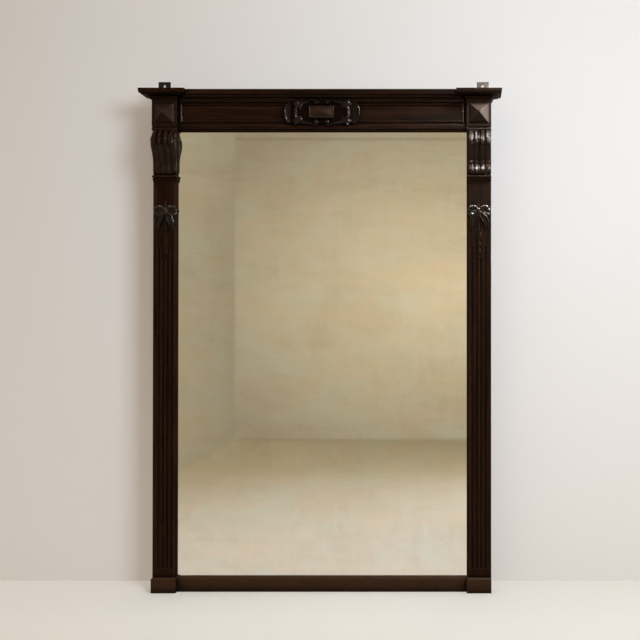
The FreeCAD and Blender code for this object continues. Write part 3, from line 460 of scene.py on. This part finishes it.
def glass_finish():
    """Old silvered glass, clouded with smoke, tinged in patches and spotted with foxing."""
    shades = bpy.context.scene.mirror_colours
    finish, tree, surface, place = start_finish("old_silvering")
    clouds = noise(tree, place, (0.7, 1, 1.1), 3, 9, 0.70, 0.8)
    wiped = noise(tree, place, (0.24, 1, 1.6), 10, 7, 0.70, 0.6)
    combed = noise(tree, place, (2.4, 1, 0.35), 9, 7, 0.70, 0.3)
    smoke = reckon(
        tree, "ADD", rise(tree, clouds, 0.34, 0.68, 0, 0.72), rise(tree, wiped, 0.36, 0.68, 0, 0.36))
    smoke = reckon(tree, "ADD", smoke, rise(tree, combed, 0.38, 0.70, 0, 0.26))
    silver = blend(tree, smoke, opaque(shades.silver), opaque(shades.smoke))
    cool = noise(tree, place, (0.8, 1, 1.0), 4.6, 8, 0.68, 0.9)
    silver = blend(tree, rise(tree, cool, 0.46, 0.62, 0, 0.9), silver, opaque(shades.haze))
    warm = noise(tree, place, (0.5, 1, 1.3), 7.3, 8, 0.68, 0.7)
    silver = blend(tree, rise(tree, warm, 0.47, 0.64, 0, 0.55), silver, opaque(shades.tinge))
    spots = noise(tree, place, (1, 1, 1), 95, 2, 0.5)
    nests = noise(tree, place, (1, 1, 1), 5, 2)
    foxed = reckon(tree, "MULTIPLY", rise(tree, spots, 0.70, 0.77), rise(tree, nests, 0.50, 0.66))
    silver = blend(tree, reckon(tree, "MULTIPLY", foxed, 0.5), silver, opaque(shades.foxing))
    fill(tree, surface, {
        "Base Color": silver, "Metallic": 1, "Roughness": rise(tree, smoke, 0, 1, 0.01, 0.05)})
    return finish


def pine_finish(name, age, ring_scale):
    """Aged softwood, darker with its age from 0 to 1, and with its rings at the given scale."""
    shades = bpy.context.scene.mirror_colours
    finish, tree, surface, place = start_finish(name)
    rings = noise(tree, place, (0.06, 1, 1), ring_scale, 5, 0.6, 1.2)
    fibres = noise(tree, place, (0.03, 1, 1), 700, 2)
    dust = noise(tree, place, (1, 1, 1), 3.5, 4)
    wood = blend(tree, rise(tree, rings, 0.35, 0.7), opaque(shades.pine_light), opaque(shades.pine_dark))
    wood = blend(tree, 0.45 * age, wood, opaque(shades.pine_dark))
    wood = blend(tree, rise(tree, dust, 0.4, 0.75, 0, 0.6), wood, opaque(shades.pine_dark))
    clear = add(tree, "AmbientOcclusion", {"Distance": 0.012}, samples=6).outputs["AO"]
    wood = blend(tree, rise(tree, clear, 0.95, 0.4, 0, 0.9), wood, opaque(shades.pine_grime))
    bumped = add(tree, "Bump", {"Height": fibres, "Strength": 0.3, "Distance": 0.0005})
    fill(tree, surface, {"Base Color": wood, "Roughness": 0.78, "Normal": bumped.outputs["Normal"]})
    return finish


def iron_finish(name, rust_share):
    """Dull iron with rust in patches."""
    shades = bpy.context.scene.mirror_colours
    finish, tree, surface, place = start_finish(name)
    patches = noise(tree, place, (1, 1, 1), 70, 6, 0.65)
    grit = noise(tree, place, (1, 1, 1), 900, 2)
    rusty = rise(tree, patches, 0.62 - rust_share * 0.3, 0.74 - rust_share * 0.2)
    metal = blend(tree, rusty, opaque(shades.plate), opaque(shades.rust))
    bumped = add(tree, "Bump", {"Height": grit, "Strength": 0.2, "Distance": 0.0003})
    fill(tree, surface, {
        "Base Color": metal, "Metallic": rise(tree, rusty, 0, 1, 0.85, 0.1),
        "Roughness": rise(tree, rusty, 0, 1, 0.42, 0.85), "Normal": bumped.outputs["Normal"]})
    return finish


# Operators, one for each group of pieces

class MIRROR_OT_joinery(bpy.types.Operator):
    """Finishes the oak frame, its mouldings and the middle of its cornice"""

    bl_idname = "mirror.joinery"
    bl_label = "Finish the joinery"

    def execute(self, context):
        upright = oak_finish("oak_upright", "Z")
        diamonds = oak_finish("oak_diamonds", "X", polish=0.13, matt=0.46, pale=0.05)
        level = oak_finish("oak_level", "X")
        foot = oak_finish("oak_foot", "X", pale=0.34)
        dress(level, "top_rail", "top_sight_slip", "cornice_centre", "cornice_top_board",
              "frieze_base_moulding", "frieze_bottom_bead", "frieze_top_bead", "tenon_pegs")
        dress(foot, "bottom_rail", "bottom_sight_slip", "left_plinth_block", "right_plinth_block")
        dress(oak_finish("oak_beads", "Z", 0.006, 0.9, 0.25), "frieze_left_bead", "frieze_right_bead")
        blocks = oak_finish("oak_blocks", "Z", 0.010, 0.10, 0.34)
        for side in SIDES:
            dress(upright, f"{side}_stile", f"{side}_sight_slip")
            dress(blocks, f"{side}_end_block")
            dress(level, f"{side}_necking", f"{side}_block_moulding")
            dress(diamonds, f"{side}_diamond_point")
        return {"FINISHED"}


class MIRROR_OT_glass(bpy.types.Operator):
    """Silvers the glass"""

    bl_idname = "mirror.glass"
    bl_label = "Silver the glass"

    def execute(self, context):
        dress(glass_finish(), "mirror_glass")
        return {"FINISHED"}


class MIRROR_OT_back(bpy.types.Operator):
    """Finishes the backboards, the wedges, the nails and the hanging plates"""

    bl_idname = "mirror.back"
    bl_label = "Finish the back"

    def execute(self, context):
        boards = [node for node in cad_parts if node.startswith("backboard_") and node[-1].isdigit()]
        pines = [pine_finish(f"aged_pine_{k + 1}", age, scale) for k, (age, scale) in
                 enumerate(((0.2, 60), (0.9, 47), (0.0, 71), (0.6, 54)))]
        for k, board in enumerate(sorted(boards)):
            dress(pines[k % len(pines)], board)
        dress(pines[0], "glass_wedges")
        dress(iron_finish("dull_iron", 0.15), "left_hanging_plate", "right_hanging_plate")
        dress(iron_finish("rusty_iron", 0.7), "backboard_nails", "hanging_plate_screws")
        return {"FINISHED"}


class MIRROR_OT_cornice(bpy.types.Operator):
    """Runs the moulded cornice round the two end blocks"""

    bl_idname = "mirror.cornice"
    bl_label = "Run the cornice round the blocks"

    def execute(self, context):
        sizes = context.scene.carving_sizes
        finish = oak_finish("oak_cornice", "X", 0.012, 0.02)
        for side, sign in SIDES.items():
            nodes = [f"{side}_cornice_{place}" for place in ("front", "side_return", "inner_return")]
            piece = self.run(f"{side}_cornice_run", side, sign, sizes.cornice_run)
            hand_over(piece, finish, *nodes)
        return {"FINISHED"}

    def run(self, name, side, sign, tall):
        """One mitred length, from the inner corner round the block to the back."""
        low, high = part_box(f"{side}_end_block")
        inner, outer = (low.x, high.x) if sign > 0 else (high.x, low.x)
        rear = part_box(f"{side}_cornice_side_return")[1].y
        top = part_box(f"{side}_cornice_front")[1].z
        turns = [QUARTER * k / 8 for k in range(9)]
        cove = [(8 + 20 * (1 - math.cos(turn)), 7 + 8 * math.sin(turn)) for turn in turns]
        profile = [
            (0, 0), (6, 0), (7.5, 2.2), (7.5, 4.2), (6.5, 5.2), (6.5, 7), *cove, (30, 15), (30, 18.5),
            (41.5, 18.5), (42, 19.2), (44, 36.2), (43.4, 37), (0, 37), (0, 0)]
        stretch = tall / profile[-2][1]

        def place(across, along):
            reach, up = profile[round((across + 1) / 2 * (len(profile) - 1))]
            out, z = reach * MM, top - tall + up * stretch
            corners = ((inner - sign * out, high.y - out), (inner - sign * out, low.y - out),
                       (outer + sign * out, low.y - out), (outer + sign * out, rear))
            return (*corners[round(along * 3)], z)

        piece = shape_grid(len(profile) - 1, 3, place)
        call(piece, name)
        bpy.ops.object.mode_set(mode="EDIT")
        bpy.ops.mesh.select_all(action="SELECT")
        bpy.ops.mesh.remove_doubles(threshold=0.00001)
        bpy.ops.mesh.fill_holes(sides=0)
        face_outwards()
        return piece


class MIRROR_OT_consoles(bpy.types.Operator):
    """Carves the two scrolled consoles"""

    bl_idname = "mirror.consoles"
    bl_label = "Carve the consoles"

    def execute(self, context):
        sizes = context.scene.carving_sizes
        finish = oak_finish("oak_consoles", "Z", 0.008, 0.16, 0.28)
        for side in SIDES:
            node = f"{side}_console"
            low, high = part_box(node)
            parts = [self.front(low, high, sizes), *self.cheeks(low, high, sizes)]
            cuts = [back_cut(high.y), (low, (0, 0, -1)), (high, (0, 0, 1))]
            hand_over(fuse(f"{side}_console_carving", parts, cuts, sizes.skin), finish, node)
        return {"FINISHED"}

    def front(self, low, high, sizes):
        """The rolled front, which swells under the block moulding and again in the cup at the foot."""
        rolls = sizes.roll_height / MM
        corner = sizes.foot_corner / MM
        profile = smooth_line(
            (16, 189), (19, 183), (26, 176.5), (33.5, 168), (40.3, 155), (43, 140), (40.3, 125),
            (33, 109.5), (24, 94), (16, 79), (10.5, 64), (8.5, 48), (10.5, 36), (14.5, 24), (14, 12),
            (8, 2), (-4, -3))
        half = (high.x - low.x) / 2 / MM - CHEEK
        ground = front_ground((low.x + high.x) / 2, high.y, low.z)

        def relief(across, up):
            off = abs(across) * half
            outer = dome((off - 35) / 12) * (0.35 + 0.65 * ease((up - 14) / 30))
            rolled = max(dome((off - 13.2) / 9.2), outer)
            leaf = ease((up - 132 + 7 * rolled) / 3)
            ribs = 0.7 * math.cos(off * 1.05 + 0.02 * up)
            veins = rolled * (ribs + 0.5 * math.sin(0.5 * up + 0.4 * off) * leaf)
            body = rolls * rolled * (0.62 + 0.38 * leaf) + sizes.leaf_lip / MM * leaf * (0.3 + 0.7 * rolled)
            bead = sizes.bead_height / MM * dome(off / 2.5)
            ring = 1.8 * rolled * hump(up, 58, 6)
            return (max(body, bead) + ring + veins) * ease((up - 1) / 16)

        def place(across, along):
            point = profile(along)
            tuck = max(0, corner - point[1])
            wide = half - corner + math.sqrt(max(0, corner**2 - tuck**2))
            edge = 1 - ease((abs(across) - 0.93) / 0.07)
            point = point - heading(profile, along) * (relief(across, point[1]) * edge)
            return ground.point(across * wide, point[1], point[0])

        return thicken(shape_grid(110, 200, place), (0, 0.06, 0))

    def cheeks(self, low, high, sizes):
        """The volute and leaf on each cheek."""
        parts = []
        outer = sizes.cheek_volute / MM
        for x, out in ((low.x + CHEEK * MM, -1), (high.x - CHEEK * MM, 1)):
            ground = Ground((x, high.y, low.z), (0, -1, 0), (0, 0, 1), (out, 0, 0))
            sweep = smooth_line((9, 16), (9, 42), (12, 70), (24, 96), (38, 118), (46, 145))
            curl = spiral((29, 145), outer, 3.5, 1.8, 0)
            line = chain(sweep, curl, 0.4)
            parts.append(carve_strip(
                ground, line, lambda t: 3.2 - 1.6 * t, lambda t, s: 2.6 * dome(s),
                rows=150, columns=8, back=6))
            parts.append(carve_ball(ground, 29, 145, 0, (4.5, 4.5, 3)))
            leaf = smooth_line((25, 116), (17, 94), (9, 70), (5, 42))
            parts.append(carve_strip(
                ground, leaf, lambda t: 0.4 + 5.5 * math.sin(math.pi * t) ** 0.8,
                lambda t, s: 2.4 * (1 - abs(s)) + 0.5 * math.cos(t * 40), rows=50, columns=10, back=6))
        return parts


class MIRROR_OT_ribbons(bpy.types.Operator):
    """Carves the two ribbon bows"""

    bl_idname = "mirror.ribbons"
    bl_label = "Carve the ribbon bows"

    def execute(self, context):
        sizes = context.scene.carving_sizes
        finish = oak_finish("oak_bows", "Z", 0.008, 0.36, 0.28)
        for side, sign in SIDES.items():
            node = f"{side}_ribbon_bow"
            low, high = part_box(node)
            knot_z = high.z - 23 * MM
            parts = []
            for hand in (-1, 1):
                ground = front_ground((low.x + high.x) / 2, high.y, knot_z, hand)
                parts += [*self.loop(ground, sizes), self.tail(ground, hand * sign)]
            parts += self.knot(ground, sizes)
            cuts = [back_cut(high.y)]
            hand_over(fuse(f"{side}_bow_carving", parts, cuts, sizes.skin * 0.85), finish, node)
        return {"FINISHED"}

    def loop(self, ground, sizes):
        """One full loop of the bow, pleated where the ribbon turns back."""
        ribbon = sizes.ribbon / MM
        spine = smooth_line(
            (3, 4), (11, 13), (22, 16.5), (34, 13), (40, 1), (36, -13), (25, -19), (12, -12), (3, -3))

        def half_width(t):
            return ribbon * (0.55 + 0.45 * hump(t, 0.5, 0.6))

        def height(t, s):
            pleats = 4 * hump(t, 0.5, 0.22) * math.cos((t - 0.5) * 53)
            pleats += 2.2 * hump(t, 0.24, 0.14) * math.cos(t * 80)
            swell = 5 * hump(t, 0.27, 0.3) + 2 * hump(t, 0.72, 0.3)
            return 3.6 + swell + (4.5 + 1.5 * hump(t, 0.3, 0.3)) * dome(s) + pleats
        lining = carve_strip(
            ground, smooth_line((4, 0), (20, 0), (37, -2)), lambda t: 4 + 10 * ease(t),
            lambda t, s: 3.4 + 2.2 * ease(t) + 1.3 * math.cos(s * 8), rows=40, columns=24)
        return [carve_strip(ground, spine, half_width, height, rows=150, columns=18), lining]

    def tail(self, ground, outer):
        """One tail, which falls as a hollow pointed leaf with raised rims."""
        sway = 3 if outer > 0 else -2
        spine = smooth_line((7, -10), (18, -26), (27 + sway, -45), (30 + sway, -66), (29 + sway, -85))

        def half_width(t):
            return 0.8 + 12.5 * math.sin(math.pi * min(1, 0.12 + 0.88 * t)) ** 0.85

        def height(t, s):
            rim = ease((abs(s) - 0.25) / 0.6) * math.sin(math.pi * min(1, 0.2 + 0.8 * t)) ** 0.5
            return 1.5 + 11 * rim - 4 * ease((abs(s) - 0.8) / 0.2) + 2 * (1 - t) + 1.4 * math.sin(5 * t + s)
        return carve_strip(ground, spine, half_width, height, rows=90, columns=24)

    def knot(self, ground, sizes):
        """The knot in the middle, with the cord that holds it and the pendant's cord."""
        knot = sizes.knot / MM

        def wrap(t, s):
            return 4 + 9 * dome(s) * dome(2 * t - 1) ** 0.5 + 0.9 * math.cos(s * 12)
        band = carve_strip(
            ground, smooth_line((0, 11), (0, 4), (0, -4), (0, -12)),
            lambda t: knot * (0.8 + 0.2 * hump(t, 0.5, 0.5)), wrap, rows=40, columns=20)
        holder = carve_strip(
            ground, smooth_line((0, 10), (0.6, 24), (0, 40)), lambda t: 2.6 - 2 * t,
            lambda t, s: 0.1 + 0.4 * dome(s), rows=40)
        cord = carve_strip(
            ground, smooth_line((0, -10), (0.6, -48), (0, -84)), lambda t: 3.2,
            lambda t, s: 1.6 + 2.8 * dome(s) + 0.4 * math.cos(t * 90 + s * 3), rows=120)
        return [band, holder, cord]


class MIRROR_OT_husks(bpy.types.Operator):
    """Carves the two drops of husks"""

    bl_idname = "mirror.husks"
    bl_label = "Carve the husk drops"

    def execute(self, context):
        sizes = context.scene.carving_sizes
        finish = oak_finish("oak_husks", "Z", 0.010)
        for side in SIDES:
            node = f"{side}_husk_drop"
            low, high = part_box(node)
            ground = front_ground((low.x + high.x) / 2, high.y, high.z)
            drop = (high.z - low.z) / MM
            tops = ((0, 1.0), (0.34, 0.86), (0.64, 0.72))
            parts = []
            for start, share in tops:
                parts += self.husk(ground, -start * drop, 0.40 * drop * share, 12.5 * share)
            parts.append(carve_ball(ground, 0, -drop + 4, 2, (3.6, 4, 4)))
            cuts = [back_cut(high.y)]
            hand_over(fuse(f"{side}_husk_carving", parts, cuts, sizes.skin * 0.75), finish, node)
        return {"FINISHED"}

    def husk(self, ground, top, tall, half):
        """One husk: a cup, two spread petals and a middle petal that overlaps them."""
        parts = [carve_ball(ground, 0, top - 1, 2, (half * 0.42, half * 0.5, half * 0.42))]
        for lean in (-1, 1, 0):
            spine = smooth_line(
                (0, top + 1), (lean * half * 0.55, top - tall * 0.35),
                (lean * half * 0.72, top - tall * 0.7), (lean * half, top - tall * (0.9 if lean else 1)))

            def half_width(t, wide=0.48 if lean else 0.42):
                return 0.5 + half * wide * math.sin(math.pi * min(1, t * 0.93 + 0.05)) ** 0.8

            def height(t, s, lift=1.0 if lean else 2.0):
                swell = math.sin(math.pi * min(1, t * 0.9 + 0.08))
                return lift + 2.6 * dome(s) * swell + (1 - abs(s)) ** 2
            parts.append(carve_strip(ground, spine, half_width, height, rows=44, columns=12))
        return parts


class MIRROR_OT_cartouche(bpy.types.Operator):
    """Carves the strapwork cartouche on the frieze"""

    bl_idname = "mirror.cartouche"
    bl_label = "Carve the cartouche"

    def execute(self, context):
        sizes = context.scene.carving_sizes
        finish = oak_finish("oak_cartouche", "X", 0.010, 0.20, 0.28, -0.25)
        low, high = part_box("cartouche_strapwork")
        seat = high.y
        middle = (low.z + high.z) / 2
        grounds = {(hand, way): Ground((0, seat, middle), (hand, 0, 0), (0, 0, way), (0, -1, 0))
                   for hand in (-1, 1) for way in (-1, 1)}
        cuts = [back_cut(seat)]
        # A darker oak for the sunk field, whose wide reach paints shade deep into its hollows
        recess = oak_finish("oak_recess", "X", 0.03, 0.02, 0.5, -0.5)
        field = fuse("cartouche_field", [self.field(grounds[1, 1])], cuts, sizes.skin)
        hand_over(field, recess, "cartouche_backing")
        plate = []
        for ground in grounds.values():
            plate.append(self.ear(ground))
        for hand in (-1, 1):
            ground = grounds[hand, 1]
            plate += [self.crescent(ground), self.end_dish(ground), self.inner_roll(ground)]
        hand_over(fuse("cartouche_straps", plate, cuts, sizes.skin), finish, "cartouche_strapwork")
        for name, way in (("top", 1), ("bottom", -1)):
            scrolls = []
            for hand in (-1, 1):
                scrolls += self.scroll(grounds[hand, way], sizes)
            hand_over(fuse(f"cartouche_{name}_volutes", scrolls, cuts, sizes.skin * 0.85), finish,
                      f"cartouche_{name}_scrolls")
        self.cabochon(oak_finish("oak_cabochon", "X", 0.004, 0.14, 0.4, 0.10))
        return {"FINISHED"}

    def field(self, ground):
        """The dished field that carries the straps."""
        line = smooth_line((-154, 0), (0, 0), (154, 0))

        def half_width(t):
            x = abs(2 * t - 1)
            return 46 - 10 * hump(x, 0.62, 0.2) - 22 * ease((x - 0.86) / 0.14)

        def height(t, s):
            x = abs(2 * t - 1)
            return 6 - 3 * hump(x, 0.84, 0.16) + 2 * ease((abs(s) - 0.8) / 0.2)
        return carve_strip(ground, line, half_width, height, rows=150, columns=40)

    def crescent(self, ground):
        """The bowed rim at one end."""
        spine = smooth_line((141, 40), (152, 24), (156.5, 0), (152, -24), (141, -40))
        return carve_strip(
            ground, spine, lambda t: 1.2 + 3.2 * math.sin(math.pi * t) ** 0.6,
            lambda t, s: 4 + 7 * math.sin(math.pi * t) ** 0.5 + 3.5 * dome(s), rows=70)

    def end_dish(self, ground):
        """The hollow band between the rim and the rolled strip."""
        spine = smooth_line((124, 37), (131, 20), (133, 0), (131, -20), (124, -37))
        return carve_strip(ground, spine, lambda t: 21, lambda t, s: 3.5 + 4.5 * s * s, rows=60, columns=24)

    def inner_roll(self, ground):
        """The upright rolled strip inside the crescent."""
        spine = smooth_line((106, 24), (110, 10), (110, -10), (106, -24))
        return carve_strip(
            ground, spine, lambda t: 7.5, lambda t, s: 8 + 7 * dome(s) - 2.2 * hump(s, 0.2, 0.25),
            rows=40, columns=20)

    def ear(self, ground):
        """One folded strap end at a corner."""
        spine = smooth_line((82, 24), (98, 32), (110, 40), (118, 45))

        def height(t, s):
            return 6 + 9 * math.sin(t * 2.8) + 2.5 * dome(s) - 2.4 * hump(abs(s), 0.6, 0.22)
        return carve_strip(ground, spine, lambda t: 10 + 3 * t, height, rows=40, columns=28)

    def scroll(self, ground, sizes):
        """One strap that runs in from an ear and winds up into a volute."""
        volute = sizes.volute / MM
        strap = sizes.strap / MM
        run = smooth_line((96, 34), (80, 41), (56, 46), (24, 42 + volute))
        curl = spiral((24, 42), volute, 2.8, 1.5, 90)
        line = chain(run, curl, 0.42)
        made = carve_strip(
            ground, line, lambda t: strap * (0.42 + 1.4 * (1 - ease(t / 0.45))),
            lambda t, s: 8 + 10 * t + 4.5 * dome(s), rows=170, columns=16)
        eye = carve_ball(ground, 24, 42, 15, (4, 4, 7))
        return [made, eye]

    def cabochon(self, finish):
        """The faceted panel in its raised frame, drawn up from a block."""
        low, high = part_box("cartouche_boss")
        bpy.ops.object.select_all(action="DESELECT")
        base = high.y + 6 * MM
        size = Vector((high.x - low.x, base - (low.y + 12 * MM), high.z - low.z))
        centre = Vector(((low.x + high.x) / 2, base - size.y / 2, (low.z + high.z) / 2))
        bpy.ops.mesh.primitive_cube_add(size=1, location=centre, scale=size)
        bpy.ops.object.transform_apply(location=True, rotation=True, scale=True)
        piece = bpy.context.object
        call(piece, "cartouche_cabochon")
        bpy.ops.object.mode_set(mode="EDIT")
        bpy.ops.mesh.select_all(action="DESELECT")
        bpy.ops.mesh.select_mode(type="FACE")
        bpy.ops.object.mode_set(mode="OBJECT")
        for face in piece.data.polygons:
            face.select = face.normal.y < -0.9
        bpy.ops.object.mode_set(mode="EDIT")
        bpy.ops.mesh.inset(thickness=2.6 * MM, depth=0)
        bpy.ops.mesh.inset(thickness=1.2 * MM, depth=-2.5 * MM)
        bpy.ops.mesh.inset(thickness=0.8 * MM, depth=0)
        bpy.ops.mesh.extrude_region_move(TRANSFORM_OT_translate={"value": (0, -13.5 * MM, 0)})
        bpy.ops.mesh.merge(type="CENTER")
        face_outwards()
        apply_modifier(piece, "Worn edges", "BEVEL", width=0.7 * MM, segments=2, limit_method="ANGLE")
        hand_over(piece, finish, "cartouche_boss")


class MIRROR_OT_studio(bpy.types.Operator):
    """Sets the floor, the backdrops, the lamps and the camera"""

    bl_idname = "mirror.studio"
    bl_label = "Set up the studio"

    def execute(self, context):
        setup = context.scene.studio_settings
        self.floor(setup)
        self.wall(setup)
        self.far_wall(setup)
        self.side_wall(setup)
        self.lamps(setup)
        self.world(context.scene, setup)
        self.camera(context.scene, setup)
        context.scene.view_settings.view_transform = "Standard"
        return {"FINISHED"}

    def plane(self, name, finish, wide, deep, location, rotation):
        """One flat piece of the stage."""
        bpy.ops.object.select_all(action="DESELECT")
        bpy.ops.mesh.primitive_plane_add(size=1, location=location, rotation=rotation)
        piece = bpy.context.object
        piece.name = name
        piece.scale = (wide, deep, 1)
        bpy.ops.object.transform_apply(location=False, rotation=False, scale=True)
        piece.data.materials.append(finish)

    def looked_at(self, tree):
        """1 for rays from the camera and in reflections, and 0 for the rest."""
        rays = add(tree, "LightPath").outputs
        return reckon(tree, "MAXIMUM", rays["Is Camera Ray"], rays["Is Glossy Ray"])

    def show(self, tree, shader, seen_by):
        """Shows a shader to the given rays and lets the rest through."""
        open_air = add(tree, "BsdfTransparent").outputs["BSDF"]
        seen = add(tree, "MixShader", {0: seen_by, 1: open_air, 2: shader})
        output = next(node for node in tree.nodes if node.type == "OUTPUT_MATERIAL")
        tree.links.new(seen.outputs["Shader"], output.inputs["Surface"])

    def floor(self, setup):
        """The pale floor, which goes warmer and darker towards the facing backdrop as painted shade, and
        glows a little to the camera and in reflections.
        """
        finish, tree, surface, place = start_finish("pale_floor")
        away = add(tree, "SeparateXYZ", {"Vector": place}).outputs["Y"]
        tone = blend(tree, rise(tree, away, -0.3, -3.0), opaque(setup.floor), opaque(setup.floor_far))
        looked_at = self.looked_at(tree)
        bounce = blend(tree, looked_at, opaque(setup.floor_bounce), tone)
        fill(tree, surface, {
            "Base Color": bounce, "Roughness": 0.6, "Specular IOR Level": 0, "Emission Color": tone,
            "Emission Strength": reckon(tree, "MULTIPLY", looked_at, 0.10)})
        self.plane("studio_floor", finish, setup.stage_width, setup.stage_width, (0, 0, 0), (0, 0, 0))

    def wall(self, setup):
        """The wall behind the mirror, which is seen only from the front."""
        finish, tree, surface, place = start_finish("painted_wall")
        height = add(tree, "SeparateXYZ", {"Vector": place}).outputs["Y"]
        # The wall glows as painted light to the camera and in reflections, more strongly towards its foot
        fill(tree, surface, {
            "Base Color": opaque(setup.wall), "Roughness": 0.9, "Specular IOR Level": 0,
            "Emission Color": opaque(setup.wall_glow),
            "Emission Strength": rise(tree, height, -3.8, -1.6, 0.18, 0.06)})
        behind = add(tree, "NewGeometry").outputs["Backfacing"]
        ahead = reckon(tree, "SUBTRACT", 1.0, behind)
        self.show(tree, surface.outputs["BSDF"], reckon(tree, "MULTIPLY", self.looked_at(tree), ahead))
        middle = (0, setup.wall_place, setup.wall_height / 2)
        self.plane("studio_wall", finish, setup.stage_width, setup.wall_height, middle, (QUARTER, 0, 0))

    def glow(self, tree, tone, strength, seen_by):
        """Light of an even tone that only the given rays see."""
        light = add(tree, "Emission", {"Color": opaque(tone), "Strength": strength})
        self.show(tree, light.outputs["Emission"], seen_by)

    def far_wall(self, setup):
        """The facing backdrop that the glass reflects, glowing as painted light, brightest low at its
        right, with a darker line high up and a painted shadow at its foot.
        """
        finish, tree, surface, place = start_finish("facing_backdrop")
        tree.nodes.remove(surface)
        shifted = add(tree, "Mapping", {
            "Vector": place, "Location": (-0.21, -1.5, 0), "Scale": (0.385, 0.588, 1)})
        away = add(tree, "VectorMath", {0: shifted.outputs["Vector"]}, operation="LENGTH").outputs["Value"]
        down = add(tree, "SeparateXYZ", {"Vector": place}).outputs["Y"]
        off_line = reckon(tree, "SUBTRACT", down, setup.line_drop)
        off_line = add(tree, "Math", {0: off_line}, operation="ABSOLUTE").outputs[0]
        # A pool of painted light, brightest low at the right
        strength = rise(tree, away, 0, 1.08, 1.52, 0.66)
        strength = reckon(tree, "MULTIPLY", strength, rise(tree, off_line, 0.004, 0.016, 0.72, 1))
        # A painted shadow where the backdrop meets the floor
        strength = reckon(tree, "MULTIPLY", strength, rise(tree, down, 3.985, 3.995, 1, 0.72))
        self.glow(tree, setup.far_wall, strength, self.looked_at(tree))
        middle = (0, -setup.far_wall_place, setup.wall_height / 2)
        self.plane(
            "studio_far_wall", finish, setup.stage_width, setup.wall_height, middle, (-QUARTER, 0, 0))

    def side_wall(self, setup):
        """The wall beside the facing backdrop, which only reflections show."""
        finish, tree, surface, place = start_finish("side_backdrop")
        tree.nodes.remove(surface)
        parts = add(tree, "SeparateXYZ", {"Vector": place}).outputs
        half = setup.side_wall_length / 2
        foot = -setup.wall_height / 2
        # The side wall glows as painted light, dimmer towards the facing backdrop and darker near its foot
        strength = rise(tree, parts["X"], -half, -0.6, 0.70, 0.84)
        strength = reckon(tree, "MULTIPLY", strength, rise(tree, parts["Y"], foot, foot + 1.1, 0.88, 1))
        self.glow(tree, setup.far_wall, strength, add(tree, "LightPath").outputs["Is Glossy Ray"])
        middle = (setup.side_wall_place, half - setup.far_wall_place, -foot)
        self.plane("studio_side_wall", finish, 2 * half, setup.wall_height, middle, (QUARTER, 0, QUARTER))

    def lamps(self, setup):
        """The soft key lamp at the front right, and two lamps that only show in the wax."""
        key = self.lamp(
            "key_lamp", setup.key_place, setup.key_target, 1.2, setup.key_strength, setup.key_tint)
        key.visible_glossy = False
        for name, location, share, spread in (
                ("side_sheen", setup.side_sheen_place, 1, 180),
                ("top_sheen", setup.top_sheen_place, 1.1, 75)):
            power = share * setup.sheen_strength
            lamp = self.lamp(name, location, setup.sheen_target, 0.32, power, setup.sheen_tint)
            lamp.visible_diffuse = False
            lamp.data.spread = math.radians(spread)

    def lamp(self, name, location, target, size, power, tint):
        """One square lamp that faces its target."""
        bpy.ops.object.select_all(action="DESELECT")
        bpy.ops.object.light_add(type="AREA", location=location)
        lamp = bpy.context.object
        lamp.name = name
        lamp.data.size = size
        lamp.data.energy = power
        lamp.data.color = tint
        lamp.rotation_mode = "QUATERNION"
        lamp.rotation_quaternion = (Vector(target) - lamp.location).to_track_quat("-Z", "Y")
        return lamp

    def world(self, scene, setup):
        """Even light from all round, which the wax hardly mirrors."""
        world = bpy.data.worlds.new("studio_air")
        scene.world = world
        world.use_nodes = True
        tree = world.node_tree
        glossy = add(tree, "LightPath").outputs["Is Glossy Ray"]
        strength = rise(tree, glossy, 0, 1, setup.world_strength, 0.12)
        fill(tree, tree.nodes["Background"], {"Color": opaque(setup.air), "Strength": strength})

    def camera(self, scene, setup):
        """The camera at the front, level but for a small tilt."""
        bpy.ops.object.camera_add(location=setup.camera_place, rotation=(QUARTER + setup.tilt, 0, 0))
        camera = bpy.context.object
        camera.name = "front_camera"
        camera.data.sensor_width = 36
        camera.data.lens = setup.lens
        camera.data.shift_x, camera.data.shift_y = setup.shift
        scene.camera = camera


class MIRROR_PT_bench(bpy.types.Panel):
    """Lists the mirror's pieces and settings in the sidebar"""

    bl_idname = "MIRROR_PT_bench"
    bl_label = "Pier mirror"
    bl_space_type = "VIEW_3D"
    bl_region_type = "UI"
    bl_category = "Mirror"

    def draw(self, context):
        for operator in OPERATORS:
            self.layout.operator(operator.bl_idname)
        for group in GROUPS:
            box = self.layout.box()
            settings = getattr(context.scene, group)
            for key in settings.bl_rna.properties.keys():
                if key not in ("name", "rna_type"):
                    box.prop(settings, key)


OPERATORS = (
    MIRROR_OT_joinery, MIRROR_OT_glass, MIRROR_OT_back, MIRROR_OT_cornice, MIRROR_OT_consoles,
    MIRROR_OT_ribbons, MIRROR_OT_husks, MIRROR_OT_cartouche, MIRROR_OT_studio)
GROUPS = {"carving_sizes": CarvingSizes, "mirror_colours": MirrorColours, "studio_settings": StudioSettings}


def register():
    """Adds the classes and the three groups of settings."""
    for kind in (*GROUPS.values(), *OPERATORS, MIRROR_PT_bench):
        bpy.utils.register_class(kind)
    for name, kind in GROUPS.items():
        setattr(bpy.types.Scene, name, bpy.props.PointerProperty(type=kind))


def unregister():
    """Takes the settings and the classes away again."""
    for name in GROUPS:
        delattr(bpy.types.Scene, name)
    for kind in reversed((*GROUPS.values(), *OPERATORS, MIRROR_PT_bench)):
        bpy.utils.unregister_class(kind)


def main():
    """Runs every operator."""
    register()
    bpy.ops.mirror.joinery()
    bpy.ops.mirror.glass()
    bpy.ops.mirror.back()
    bpy.ops.mirror.cornice()
    bpy.ops.mirror.consoles()
    bpy.ops.mirror.ribbons()
    bpy.ops.mirror.husks()
    bpy.ops.mirror.cartouche()
    bpy.ops.mirror.studio()


if __name__ == "__main__":
    main()
